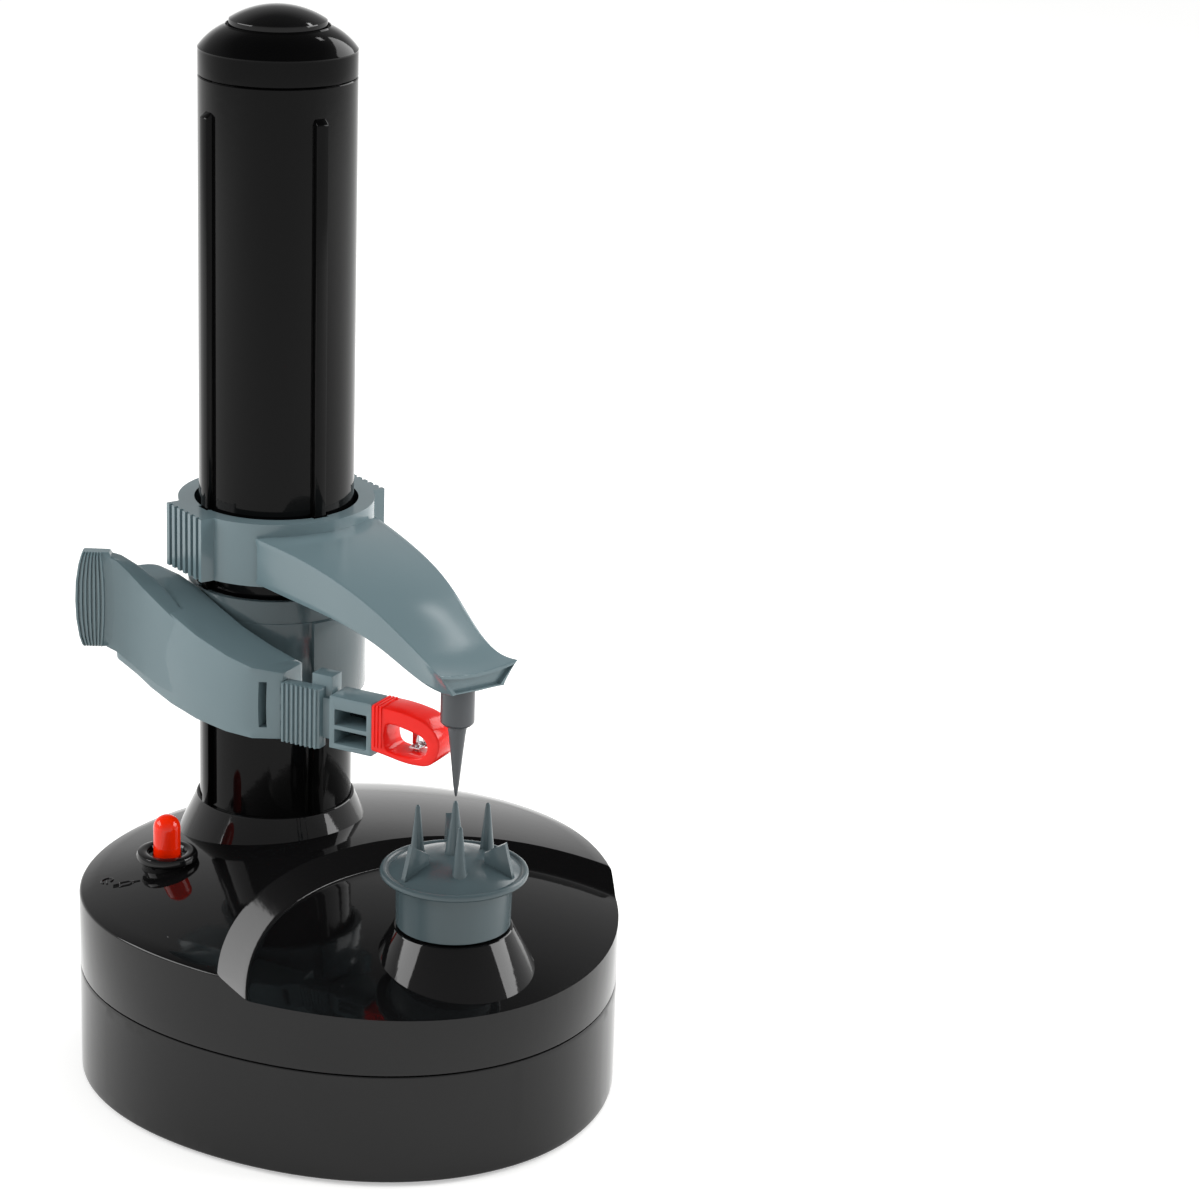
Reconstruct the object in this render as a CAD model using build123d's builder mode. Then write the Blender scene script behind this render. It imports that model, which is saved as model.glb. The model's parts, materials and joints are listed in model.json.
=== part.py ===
from build123d import *
import math
import os

os.makedirs("parts", exist_ok=True)

# ---------------------------------------------------------------- driving dimensions, mm and degrees
# The frame: +Z up, Z = 0 on the table, the food side towards -Y, the column towards +Y.

# base outline: a round plan with three soft corners
base_corner_bulge = 2.25
base_length_bulge = 1.2
base_wall = 2.5
outline_y = base_corner_bulge
outline_step = 15

# heights of the base
foot_proud = 1.0
tray_floor = 2.5
seam_z = 30.6
dome_apex = 61.0
dome_radius = 281.0
step_drop = 6.3
step_top_radius = 74.0
step_lean = 5.5
step_center_x = 2.0
step_center_y = -67.0
edge_break = 0.8

# the two upright axes, with the room that the wheel train has in the base
mast_x = -2.6
train_front_room = 4.9
train_back_room = 5.4

# column
column_radius = 20.5
column_wall = 2.5
column_seat_gap = 0.15
column_foot_z = 66.1
column_top_z = 262.3
column_flange_width = 6.5
column_flange_height = 3.0
column_screw_out = 3.3
column_screw_turns = (90, 210, 330)
rib_width = 3.4
rib_proud = 1.6
rib_top_gap = 7.5
rib_foot_gap = 0.3
slot_width = 6.0
slot_spare = 16.0
foot_cone_flare = 4.7
foot_cone_height = 10.0
foot_cone_land = 0.7

# column cap
cap_edge_height = 7.0
cap_shoulder_height = 6.6
cap_crown_radius = 12.6
cap_groove = 0.7
cap_groove_depth = 1.7
cap_crown_wall = 2.7
cap_crown_rise = 3.4
cap_bulge = 0.9
cap_spigot_depth = 8.0
cap_hub_radius = 8.0
cap_hub_depth = 15.0

# gear train
module = 1.0
fine_module = 0.8
pressure_angle = 25.0
addendum_share = 0.8
dedendum_share = 1.15
backlash = 0.24
spindle_teeth = 36
middle_small_teeth = 24
middle_large_teeth = 40
idler_teeth = 24
screw_teeth = 48
reduction_small_teeth = 10
reduction_large_teeth = 50
pinion_teeth = 10
middle_bearing = 75.0
idler_bearing = 83.71
reduction_bearing = 20.0
motor_bearing = 70.0
train_z = 7.0
train_face = 6.0
second_z = 14.5
second_face = 4.5
third_z = 20.5
third_face = 4.5
axle_radius = 2.0
running_gap = 0.05
hub_gap = 0.25
hub_rise = 1.0
shaft_radius = 3.0
bush_radius = 5.0
bush_length = 3.0
seat_wall = 3.0
axle_wall = 1.5

# gearbox plate and motor
plate_z = 26.5
plate_thickness = 2.5
plate_inset = 4.0
plate_post_radius = 4.0
plate_post_inset = 15.9
plate_post_turn = 50.0
plate_post_back_turn = 115.0
plate_screw_length = 8.0
motor_radius = 14.0
motor_length = 18.0
motor_boss_radius = 5.0
motor_boss_height = 1.6
motor_shaft_radius = 1.2
motor_screw_ring = 9.0
motor_screw_turns = (90, 270)
motor_screw_hold = 3.0
motor_shaft_hold = 8.0
motor_edge = 1.5

# lead screw and its nut
screw_radius = 4.0
screw_top_z = 256.0
screw_collar_z = 30.0
nut_radius = 9.0
nut_height = 12.0
nut_rise = 8.0
nut_clearance = 0.3
nut_tongue_width = 5.0
nut_screw_length = 10.0

# fasteners
screw_shank = 1.5
screw_head = 2.8
screw_head_height = 2.0
screw_gap = 0.05
seat_clearance = 0.1
screw_slot = 0.9
screw_spare = 2.0
pilot_depth = 12.0
pillar_radius = 4.2
pillar_clearance = 0.3
pillar_inset = 8.4
pillar_turn = 35.0
pillar_back_turn = 128.0
foot_radius = 6.0
foot_inset = 14.9
foot_turn = 55.0
foot_back_turn = 138.0
foot_recess = 1.0

# food holder on its hub
hub_cone_top_z = 59.2
hub_cone_top_radius = 15.2
hub_cone_flare = 8.2
hub_cone_height = 12.0
hub_cone_wall = 2.5
cup_gap = 0.5
cup_foot_radius = 14.6
cup_radius = 14.9
cup_wall = 2.0
disc_z = 72.9
disc_top_z = 74.9
disc_radius = 18.9
disc_lip = 1.5
disc_lip_drop = 0.5
disc_edge = 0.5
disc_crown_z = 79.1
hub_radius = 6.0
prong_radius = 1.9
center_prong_radius = 2.5
prong_tip_radius = 0.3
prong_ring = 10.3
center_prong_top_z = 93.0
outer_prong_top_z = 90.1
prong_count = 3
prong_turn = 3.0
fin_turn = 60.0
fin_inner = 8.4
fin_peak = 13.9
fin_outer = 16.3
fin_inner_z = 80.5
fin_peak_z = 84.0
fin_thickness = 1.5

# start button in its bezel, over the switch
button_out = 39.1
button_forward = 9.4
button_radius = 3.6
button_top_rise = 10.0
button_travel = 2.5
button_flange_radius = 4.6
button_flange = 2.0
button_stem_radius = 1.6
button_stem_below = 2.4
button_round = 3.2
button_gap = 0.3
bezel_radius = 6.6
bezel_bore = 4.95
bezel_top_z = 60.2
bezel_recess = 1.2
bezel_lip = 0.7
bezel_floor = 1.2
bezel_flange = 1.6
bezel_flange_radius = 8.2
bezel_flange_drop = 8.3
spring_length = 5.3
spring_wire = 0.3
spring_turns = 3.5
spring_coil_radius = 3.2
switch_size = 12.0
switch_depth = 7.0
switch_post_radius = 5.0
switch_plunger_radius = 1.2
switch_plunger_height = 1.3

# power inlet in the back wall
inlet_z = 16.0
inlet_turn = 157.0
inlet_radius = 4.5
inlet_bore = 2.9
inlet_pin = 1.0
inlet_length = 12.0
inlet_depth = 9.0
inlet_proud = 0.6
inlet_flange_radius = 6.5
inlet_flange = 1.5
inlet_flange_gap = 0.9

# slides on the column
slide_gap = 1.2
keyway_gap = 0.5
collar_z = 133.0
collar_height = 17.0
collar_wall = 4.3
grip_proud = 2.2
grip_half_width = 9.0
grip_ridges = 7
grip_ridge_depth = 0.9
sleeve_z = 98.0
sleeve_height = 24.0
sleeve_wall = 2.3
sleeve_lip_wall = 1.2
sleeve_lip_height = 6.0
sleeve_ridge = 1.0
sleeve_ridge_width = 7.0
carriage_travel = 94.5

# upper arm with its spike: half width, top and underside at distances in front of the column
arm_stations = (
    (16.0, 18.9, 146.7, 134.4),
    (37.0, 16.0, 145.7, 133.6),
    (56.5, 14.0, 143.2, 133.3),
    (68.5, 12.0, 139.6, 130.8),
    (80.5, 10.1, 134.4, 126.4),
    (89.0, 9.8, 131.2, 124.7),
    (96.5, 11.6, 130.2, 125.2),
)
arm_wall = 2.6
arm_crown = 1.0
bearing_radius = 4.3
bearing_low_z = 113.6
bearing_high_z = 129.0
bearing_edge = 0.8
spike_shaft_radius = 1.9
spike_head_radius = 2.9
spike_head_height = 2.0
spike_base_radius = 2.6
spike_tip_radius = 0.3
spike_tip_z = 94.2
spike_gap = 0.3

# blade arm: distance in front of the hinge, reach outwards and reach inwards of it
hinge_off_column = 10.1
hinge_back = 4.6
hinge_radius = 5.2
hinge_pin_radius = 1.6
knuckle_rise = 10.0
knuckle_height = 8.0
knuckle_gap = 0.4
pocket_radius = 7.0
pocket_height = 15.4
blade_arm_stations = (
    (-10.0, 10.6, 3.0),
    (-5.0, 9.3, 4.2),
    (1.0, 8.8, 5.5),
    (9.0, 8.0, 6.4),
    (22.5, 6.2, 8.4),
    (35.8, 2.4, 12.2),
)
arm_front_top_rise = 18.0
arm_hinge_top_rise = 32.0
arm_back_top_rise = 34.0
arm_front_low_rise = 0.7
arm_back_low_rise = 9.0
arm_profile_front = 48.0
arm_profile_back = 17.0
arm_end_forward = 45.5
arm_end_inward = 7.7
arm_end_width = 10.0
pin_cover = 2.5
blade_heading = 63.3
handle_out = 17.3
handle_back = 6.5
handle_turn = 37.0
handle_width = 11.0
handle_height = 26.0
handle_rise = 15.5
handle_thickness = 5.0
handle_neck = 8.0
handle_neck_rise = 3.0
handle_neck_height = 12.0
handle_ridges = 6
handle_ridge_depth = 0.8
arm_spring_wire = 0.5
arm_spring_turns = 4.5
arm_spring_coil_radius = 3.1

# blade carrier and guard: distances along the heading from the arm's end, rises from the sleeve's foot
socket_depth = 8.0
socket_inset = 1.8
socket_rise = 4.5
socket_height = 10.0
socket_width = 5.0
socket_clearance = 0.1
latch_slot_back = 5.4
latch_slot_width = 1.9
latch_slot_inset = 1.3
latch_slot_rise = 3.9
latch_slot_height = 12.4
neck_rise = 3.0
neck_height = 11.0
tab_rise = 0.4
tab_height = 16.2
tab_length = 11.2
tab_thickness = 3.2
tab_ridges = 8
tab_ridge_depth = 0.7
carrier_rise = 1.5
carrier_height = 14.2
carrier_depth = 8.0
carrier_start = 14.2
carrier_end = 26.6
stop_block_start = 7.0
stop_block_length = 6.0
stop_block_height = 5.5
window_wall = 1.5
window_height = 3.8
window_gap = 1.2
upper_window_height = 4.2
tongue_length = 2.8
tongue_height = 6.0
tongue_width = 4.0
guard_start = 26.7
guard_depth = 8.8
guard_proud = 0.4
guard_outline = (
    (guard_start, 15.6),
    (34.8, 15.5),
    (40.7, 14.2),
    (43.7, 13.4),
    (46.5, 9.2),
    (43.0, 2.0),
    (36.3, 1.9),
    (guard_start, 3.4),
)
guard_mouth = (
    (30.9, 11.6),
    (35.0, 11.1),
    (40.3, 9.8),
    (43.3, 6.4),
    (40.4, 3.3),
    (32.2, 3.9),
)
blade_reach = 37.0
blade_inward = 7.6
blade_rise = 4.3
blade_height = 5.4
blade_width = 5.0
blade_slot_width = 1.2
blade_slot_height = 3.2
blade_thickness = 0.6
blade_ear_inward = 5.4
blade_ear_width = 3.0
blade_pin_radius = 0.7
blade_pin_hold = 2.0
blade_pin_inside = 1.0


# ---------------------------------------------------------------- shared shapes
def outline_point(angle, inset):
    """A point of the base plan; angle 0 faces the food side."""
    turn = math.radians(angle)
    bulge = base_corner_bulge * math.cos(3 * turn) + base_length_bulge * math.cos(2 * turn)
    reach = base_mean_radius + bulge - inset
    return (reach * math.sin(turn), outline_y - reach * math.cos(turn))


def base_outline(height, inset):
    """The base plan as a face at a height, shrunk by the inset."""
    points = [outline_point(angle, inset) for angle in range(0, 360, outline_step)]
    with BuildSketch(Plane.XY.offset(height)) as outline:
        with BuildLine():
            Spline(*points, periodic=True)
        make_face()
    return outline.sketch


def polar(ring, angle):
    """A place on a ring round the middle of the base plan; angle 0 faces the food side."""
    turn = math.radians(angle)
    return (ring * math.sin(turn), outline_y - ring * math.cos(turn))


def mirrored(ring, front_turn, back_turn):
    """Four places, two by two on both sides of the base."""
    turns = (front_turn, back_turn, -back_turn, -front_turn)
    return [polar(ring, turn) for turn in turns]


def involute(angle):
    """The involute function of an angle in radians."""
    return math.tan(angle) - angle


def gear_face(height, teeth, size, phase):
    """A spur gear's plan: tooth centres at phase, with rounded-off involute flanks."""
    pitch = size * teeth / 2
    base = pitch * math.cos(math.radians(pressure_angle))
    tip = pitch + addendum_share * size
    root = pitch - dedendum_share * size
    half_tooth = math.pi / 2 / teeth - backlash / 2 / pitch / 2
    spread = half_tooth + involute(math.radians(pressure_angle))
    low = max(base, root)
    flank = []
    for share in (0, 0.35, 0.7, 1):
        reach = low + (tip - low) * share
        flank.append((reach, spread - involute(math.acos(min(1, base / reach)))))
    if root < base:
        flank.insert(0, (root, flank[0][1]))
    points = []
    for tooth in range(teeth):
        middle = math.radians(phase) + 2 * math.pi * tooth / teeth
        sides = [(reach, middle - half) for reach, half in flank]
        sides += [(reach, middle + half) for reach, half in reversed(flank)]
        points += [(reach * math.cos(turn), reach * math.sin(turn)) for reach, turn in sides]
    with BuildSketch(Plane.XY.offset(height)) as face:
        with BuildLine():
            Polyline(*points, close=True)
        make_face()
    return face.sketch


def mesh_phase(phase, teeth, mate_teeth, bearing):
    """The phase that puts a gap of the mate where the gear's tooth is, along the bearing."""
    teeth_along = (bearing - phase) * teeth / 360
    return bearing + 180 - (0.5 - teeth_along) * 360 / mate_teeth


def stepped_from(origin, distance, bearing):
    """A place at a distance and bearing from another; bearing 0 is +X, counted to +Y."""
    turn = math.radians(bearing)
    return (origin[0] + distance * math.cos(turn), origin[1] + distance * math.sin(turn))


def bearing_to(origin, target):
    """The bearing from one place to another, in degrees."""
    return math.degrees(math.atan2(target[1] - origin[1], target[0] - origin[0]))


def moved(face, place):
    """A face carried from the origin to a place in plan."""
    return Pos(place[0], place[1], 0) * face


def crown_point(radius, low, high):
    """A point halfway along a spherical crown that rises over a rim to its top on the axis."""
    rise = high - low
    sphere = (radius**2 + rise**2) / 2 / rise
    return (radius / 2, high - sphere + math.sqrt(sphere**2 - radius**2 / 4))


def coil(place, low, length, turns, coil_radius, wire):
    """A coil spring that stands on a place in plan."""
    rise = length - 2 * wire
    with BuildPart() as spring:
        with BuildLine() as path:
            Helix(pitch=rise / turns, height=rise, radius=coil_radius, center=(*place, low + wire))
        with BuildSketch(Plane(origin=path.line @ 0, z_dir=path.line % 0)):
            Circle(wire)
        sweep(is_frenet=True)
    return spring.part


# ---------------------------------------------------------------- places worked out from the sizes
floor_z = foot_proud + tray_floor
plate_top_z = plate_z + plate_thickness
middle_reach = module * (spindle_teeth + middle_small_teeth) / 2
idler_reach = module * (middle_small_teeth + idler_teeth) / 2
screw_reach = module * (idler_teeth + screw_teeth) / 2
idler_step = stepped_from(stepped_from((0, 0), middle_reach, middle_bearing), idler_reach, idler_bearing)
axis_spacing = idler_step[1] + math.sqrt(screw_reach**2 - idler_step[0] ** 2)
front_room = base_wall + train_front_room + module * (spindle_teeth / 2 + addendum_share)
back_room = base_wall + train_back_room + module * (screw_teeth / 2 + addendum_share)
base_mean_radius = (front_room + axis_spacing + back_room) / 2 - base_length_bulge
front_y = outline_y - base_mean_radius - base_corner_bulge - base_length_bulge
spindle_y = front_y + front_room
column_y = spindle_y + axis_spacing
column_place = (mast_x, column_y)
spindle_place = (mast_x, spindle_y)
middle_place = stepped_from(spindle_place, middle_reach, middle_bearing)
idler_place = stepped_from(middle_place, idler_reach, idler_bearing)
reduction_reach = module * (middle_large_teeth + reduction_small_teeth) / 2
reduction_place = stepped_from(middle_place, reduction_reach, reduction_bearing)
motor_reach = fine_module * (reduction_large_teeth + pinion_teeth) / 2
motor_place = stepped_from(reduction_place, motor_reach, motor_bearing)
pillar_places = mirrored(base_mean_radius - pillar_inset, pillar_turn, pillar_back_turn)
foot_places = mirrored(base_mean_radius - foot_inset, foot_turn, foot_back_turn)
plate_post_places = mirrored(base_mean_radius - plate_post_inset, plate_post_turn, plate_post_back_turn)
button_place = (mast_x - button_out, column_y - button_forward)
inlet_place = outline_point(inlet_turn, 0)
inlet_out = (math.sin(math.radians(inlet_turn)), -math.cos(math.radians(inlet_turn)), 0)
inlet_plane = Plane(origin=(*inlet_place, inlet_z), z_dir=inlet_out)
key_radius = column_radius + rib_proud + keyway_gap
bore_radius = column_radius + slide_gap
sleeve_radius = bore_radius + sleeve_wall
sleeve_lip_radius = bore_radius + sleeve_lip_wall
collar_radius = bore_radius + collar_wall
grip_reach = collar_radius + grip_proud
hinge_out = column_radius + hinge_off_column
column_flange_radius = column_radius + column_flange_width
column_screw_ring = column_radius + column_screw_out
column_bore = column_radius - column_wall
bezel_lip_low_z = bezel_top_z - bezel_recess - bezel_lip
button_low_z = bezel_lip_low_z - button_gap - button_flange
bezel_low_z = button_low_z - spring_length - bezel_floor
stem_low_z = bezel_low_z - button_stem_below
switch_top_z = stem_low_z - button_travel - button_gap - switch_plunger_height
switch_low_z = switch_top_z - switch_depth
rib_turns = (0, 90, 270)
nut_z = sleeve_z + nut_rise
slot_low_z = nut_z - slot_spare
slot_high_z = nut_z + nut_height + carriage_travel + slot_spare
dome_center_z = dome_apex - dome_radius
step_run = math.hypot(step_center_x, step_center_y - outline_y)
step_rise = math.sqrt((dome_radius - step_drop) ** 2 - step_run**2)
step_axis = Vector(step_center_x, step_center_y - outline_y, step_rise)
step_foot_radius = step_top_radius - step_lean


def dome_height(place):
    """The height of the upper dome over a place in plan."""
    run = math.hypot(place[0], place[1] - outline_y)
    return dome_center_z + math.sqrt(dome_radius**2 - run**2)


def step_tool(inset):
    """What the low front level takes out of the dome: a flared round that stands on a lower dome."""
    top_height = math.sqrt(dome_radius**2 - step_top_radius**2)
    foot_height = math.sqrt((dome_radius - step_drop) ** 2 - step_foot_radius**2)
    flare = step_lean / (top_height - foot_height)
    slope = math.sqrt(1 + flare**2)
    start = step_foot_radius - flare * foot_height + inset * slope
    low_dome = dome_radius - step_drop - inset
    low_height = (math.sqrt((slope * low_dome) ** 2 - start**2) - flare * start) / slope**2
    low_radius = start + flare * low_height
    high = top_height + 2 * step_drop
    half_turn = math.asin(low_radius / low_dome) / 2
    across = Vector(step_axis.Y, -step_axis.X, 0)
    center = (0, outline_y, dome_center_z)
    with BuildPart() as tool:
        with BuildSketch(Plane(origin=center, x_dir=across, z_dir=across.cross(step_axis))):
            with BuildLine():
                ThreePointArc(
                    (0, low_dome),
                    (low_dome * math.sin(half_turn), low_dome * math.cos(half_turn)),
                    (low_radius, low_height),
                )
                Polyline((low_radius, low_height), (start + flare * high, high), (0, high), (0, low_dome))
            make_face()
        revolve(axis=Axis(center, step_axis))
    return tool.part


def cover_form(inset):
    """The cover's stepped dome as a full block, shrunk by the inset."""
    with BuildPart() as form:
        extrude(base_outline(seam_z - inset, inset), amount=dome_apex)
        with Locations((0, outline_y, dome_center_z)):
            Sphere(dome_radius - inset, rotation=(90, 0, 0), mode=Mode.INTERSECT)
        add(step_tool(inset), mode=Mode.SUBTRACT)
    return form.part


# ---------------------------------------------------------------- base tray
with BuildPart() as base_tray:
    extrude(base_outline(foot_proud, 0), amount=seam_z - foot_proud)
    fillet(base_tray.edges().group_by(Axis.Z)[0], radius=edge_break)
    extrude(base_outline(floor_z, base_wall), amount=seam_z - floor_z, mode=Mode.SUBTRACT)
    with BuildSketch(Plane.XY.offset(floor_z)):
        with Locations(*pillar_places):
            Circle(pillar_radius)
    extrude(amount=seam_z - floor_z)
    with BuildSketch(Plane.XY.offset(floor_z)):
        with Locations(*plate_post_places):
            Circle(plate_post_radius)
    extrude(amount=plate_z - floor_z)
    with BuildSketch(Plane.XY.offset(floor_z)):
        with Locations(spindle_place, column_place):
            Circle(bush_radius + seat_wall)
        with Locations(middle_place, idler_place):
            Circle(axle_radius + seat_wall)
    extrude(amount=bush_length)
    with BuildSketch(Plane.XY.offset(floor_z)):
        with Locations(reduction_place):
            Circle(axle_radius + axle_wall)
    extrude(amount=second_z - hub_gap - floor_z)
    with BuildSketch(Plane.XY.offset(floor_z)):
        with Locations(spindle_place, column_place):
            Circle(bush_radius + running_gap)
        with Locations(middle_place, idler_place, reduction_place):
            Circle(axle_radius + running_gap)
    extrude(amount=second_z, mode=Mode.SUBTRACT)
    with BuildSketch(Plane.XY):
        with Locations(*pillar_places):
            Circle(screw_shank + screw_gap)
    extrude(amount=seam_z + foot_proud, mode=Mode.SUBTRACT)
    with BuildSketch(Plane.XY):
        with Locations(*pillar_places):
            Circle(screw_head + screw_gap)
    extrude(amount=floor_z + screw_head_height, mode=Mode.SUBTRACT)
    with BuildSketch(Plane.XY):
        with Locations(*foot_places):
            Circle(foot_radius + screw_gap)
    extrude(amount=foot_proud + foot_recess, mode=Mode.SUBTRACT)
    with BuildSketch(Plane.XY.offset(plate_z)):
        with Locations(*plate_post_places):
            Circle(screw_shank + screw_gap)
    extrude(amount=floor_z - plate_z, mode=Mode.SUBTRACT)
    with BuildSketch(inlet_plane.offset(inlet_proud)):
        Circle(inlet_radius + screw_gap)
    extrude(amount=-inlet_length, mode=Mode.SUBTRACT)
base_tray.part.label = "base_tray"
export_step(base_tray.part, "parts/base_tray.step")

# ---------------------------------------------------------------- base cover with both cones
cover_outside = cover_form(0)
cover_inside = cover_form(base_wall)
with BuildPart() as cover_bosses:
    with BuildSketch(Plane.XY.offset(seam_z)):
        with Locations(*pillar_places):
            Circle(pillar_radius)
    extrude(amount=dome_apex)
    add(cover_outside, mode=Mode.INTERSECT)

with BuildPart() as base_cover:
    add(cover_outside)
    with Locations((mast_x, column_y, column_foot_z)):
        Cone(
            column_radius + foot_cone_land + foot_cone_flare,
            column_radius + foot_cone_land,
            foot_cone_height,
            align=(Align.CENTER, Align.CENTER, Align.MAX),
        )
    with Locations((mast_x, spindle_y, hub_cone_top_z)):
        Cone(
            hub_cone_top_radius + hub_cone_flare,
            hub_cone_top_radius,
            hub_cone_height,
            align=(Align.CENTER, Align.CENTER, Align.MAX),
        )
    add(cover_inside, mode=Mode.SUBTRACT)
    with Locations((mast_x, spindle_y, hub_cone_top_z - bush_length - hub_rise)):
        Cone(
            hub_cone_top_radius + hub_cone_flare - hub_cone_wall,
            hub_cone_top_radius - hub_cone_wall,
            hub_cone_height,
            align=(Align.CENTER, Align.CENTER, Align.MAX),
            mode=Mode.SUBTRACT,
        )
    add(cover_bosses.part)
    with BuildSketch(Plane.XY.offset(seam_z)):
        with Locations(column_place):
            Circle(column_radius + column_seat_gap)
    extrude(amount=dome_apex, mode=Mode.SUBTRACT)
    with BuildSketch(Plane.XY.offset(seam_z)):
        with Locations(spindle_place):
            Circle(bush_radius + running_gap)
        with Locations(button_place):
            Circle(bezel_radius + running_gap)
    extrude(amount=dome_apex, mode=Mode.SUBTRACT)
    with BuildSketch(Plane.XY.offset(seam_z)):
        with Locations(*pillar_places):
            Circle(screw_shank + screw_gap)
    extrude(amount=pilot_depth, mode=Mode.SUBTRACT)
base_cover.part.label = "base_cover"
export_step(base_cover.part, "parts/base_cover.step")

# ---------------------------------------------------------------- feet and the screws of the base
with BuildPart() as rubber_feet:
    with BuildSketch(Plane.XY):
        with Locations(*foot_places):
            Circle(foot_radius)
    extrude(amount=foot_proud + foot_recess)
    chamfer(rubber_feet.edges().group_by(Axis.Z)[0], length=foot_proud / 2)
rubber_feet.part.label = "rubber_feet"
export_step(rubber_feet.part, "parts/rubber_feet.step")


def screw_at(head_plane, length):
    """A cross-slot screw: its head stands on the plane and its shank runs the other way."""
    with BuildPart(head_plane) as screw:
        Cylinder(screw_head, screw_head_height, align=(Align.CENTER, Align.CENTER, Align.MIN))
        Cylinder(screw_shank, length, align=(Align.CENTER, Align.CENTER, Align.MAX))
        with Locations((0, 0, screw_head_height)):
            Box(screw_head * 1.2, screw_head / 4, 2 * screw_slot, mode=Mode.SUBTRACT)
            Box(screw_head / 4, screw_head * 1.2, 2 * screw_slot, mode=Mode.SUBTRACT)
    return screw.part


def upward(place, height):
    """The plane for a screw driven down from above."""
    return Plane(origin=(place[0], place[1], height))


def downward(place, height):
    """The plane for a screw driven up from below."""
    return Plane(origin=(place[0], place[1], height), z_dir=(0, 0, -1))


def screw_group(planes, length):
    """Like screws as one group of separate solids."""
    return Compound(children=[screw_at(plane, length) for plane in planes])


cover_screws = screw_group(
    [downward(place, floor_z + screw_head_height) for place in pillar_places],
    seam_z - floor_z - screw_head_height + pilot_depth - screw_spare,
)
cover_screws.label = "cover_screws"
export_step(cover_screws, "parts/cover_screws.step")

# ---------------------------------------------------------------- gearbox plate
column_screw_places = [stepped_from(column_place, column_screw_ring, turn) for turn in column_screw_turns]
motor_line = bearing_to(reduction_place, motor_place)
motor_screw_places = [
    stepped_from(motor_place, motor_screw_ring, motor_line + turn) for turn in motor_screw_turns
]
with BuildPart() as gearbox_plate:
    extrude(base_outline(plate_z, plate_inset), amount=plate_thickness)
    with BuildSketch(Plane.XY.offset(plate_z)):
        with Locations(button_place):
            Circle(switch_post_radius)
    extrude(amount=switch_low_z - plate_z)
    with BuildSketch(Plane.XY.offset(plate_z)):
        with Locations(*pillar_places):
            Circle(pillar_radius + pillar_clearance)
        with Locations(spindle_place, column_place):
            Circle(bush_radius)
        with Locations(middle_place, reduction_place):
            Circle(axle_radius + running_gap)
        with Locations(motor_place):
            Circle(motor_boss_radius + running_gap)
        with Locations(*plate_post_places, *column_screw_places, *motor_screw_places):
            Circle(screw_shank + screw_gap)
    extrude(amount=plate_thickness, mode=Mode.SUBTRACT)
gearbox_plate.part.label = "gearbox_plate"
export_step(gearbox_plate.part, "parts/gearbox_plate.step")

plate_screws = screw_group([upward(place, plate_top_z) for place in plate_post_places], plate_screw_length)
plate_screws.label = "plate_screws"
export_step(plate_screws, "parts/plate_screws.step")

column_screws = screw_group(
    [downward(place, plate_z) for place in column_screw_places],
    plate_thickness + column_flange_height,
)
column_screws.label = "column_screws"
export_step(column_screws, "parts/column_screws.step")

motor_screws = screw_group(
    [downward(place, plate_z) for place in motor_screw_places],
    plate_thickness + motor_screw_hold,
)
motor_screws.label = "motor_screws"
export_step(motor_screws, "parts/motor_screws.step")

# ---------------------------------------------------------------- gears, from the spindle to the motor
middle_phase = mesh_phase(0, spindle_teeth, middle_small_teeth, middle_bearing)
idler_phase = mesh_phase(middle_phase, middle_small_teeth, idler_teeth, bearing_to(middle_place, idler_place))
screw_phase = mesh_phase(idler_phase, idler_teeth, screw_teeth, bearing_to(idler_place, column_place))
reduction_phase = mesh_phase(0, middle_large_teeth, reduction_small_teeth, reduction_bearing)
pinion_phase = mesh_phase(0, reduction_large_teeth, pinion_teeth, motor_bearing)

with BuildPart() as spindle_gear:
    extrude(moved(gear_face(train_z, spindle_teeth, module, 0), spindle_place), amount=train_face)
    with BuildSketch(Plane.XY.offset(floor_z + bush_length + hub_gap)):
        with Locations(spindle_place):
            Circle(shaft_radius + seat_wall)
    extrude(amount=train_z + train_face + hub_rise - floor_z - bush_length - hub_gap)
    with BuildSketch(Plane.XY):
        with Locations(spindle_place):
            Circle(shaft_radius + running_gap)
    extrude(amount=plate_z, mode=Mode.SUBTRACT)
spindle_gear.part.label = "spindle_gear"
export_step(spindle_gear.part, "parts/spindle_gear.step")

with BuildPart() as middle_gear:
    extrude(
        moved(gear_face(train_z, middle_small_teeth, module, middle_phase), middle_place),
        amount=train_face,
    )
    extrude(moved(gear_face(second_z, middle_large_teeth, module, 0), middle_place), amount=second_face)
    with BuildSketch(Plane.XY.offset(floor_z + bush_length + hub_gap)):
        with Locations(middle_place):
            Circle(axle_radius + axle_wall)
    extrude(amount=plate_z - floor_z - bush_length - 2 * hub_gap)
    with BuildSketch(Plane.XY):
        with Locations(middle_place):
            Circle(axle_radius + running_gap)
    extrude(amount=plate_z, mode=Mode.SUBTRACT)
middle_gear.part.label = "middle_gear"
export_step(middle_gear.part, "parts/middle_gear.step")

with BuildPart() as idler_gear:
    extrude(moved(gear_face(train_z, idler_teeth, module, idler_phase), idler_place), amount=train_face)
    with BuildSketch(Plane.XY.offset(floor_z + bush_length + hub_gap)):
        with Locations(idler_place):
            Circle(axle_radius + seat_wall)
    extrude(amount=train_z + train_face - floor_z - bush_length - hub_gap)
    with BuildSketch(Plane.XY):
        with Locations(idler_place):
            Circle(axle_radius + running_gap)
    extrude(amount=plate_z, mode=Mode.SUBTRACT)
idler_gear.part.label = "idler_gear"
export_step(idler_gear.part, "parts/idler_gear.step")

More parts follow.
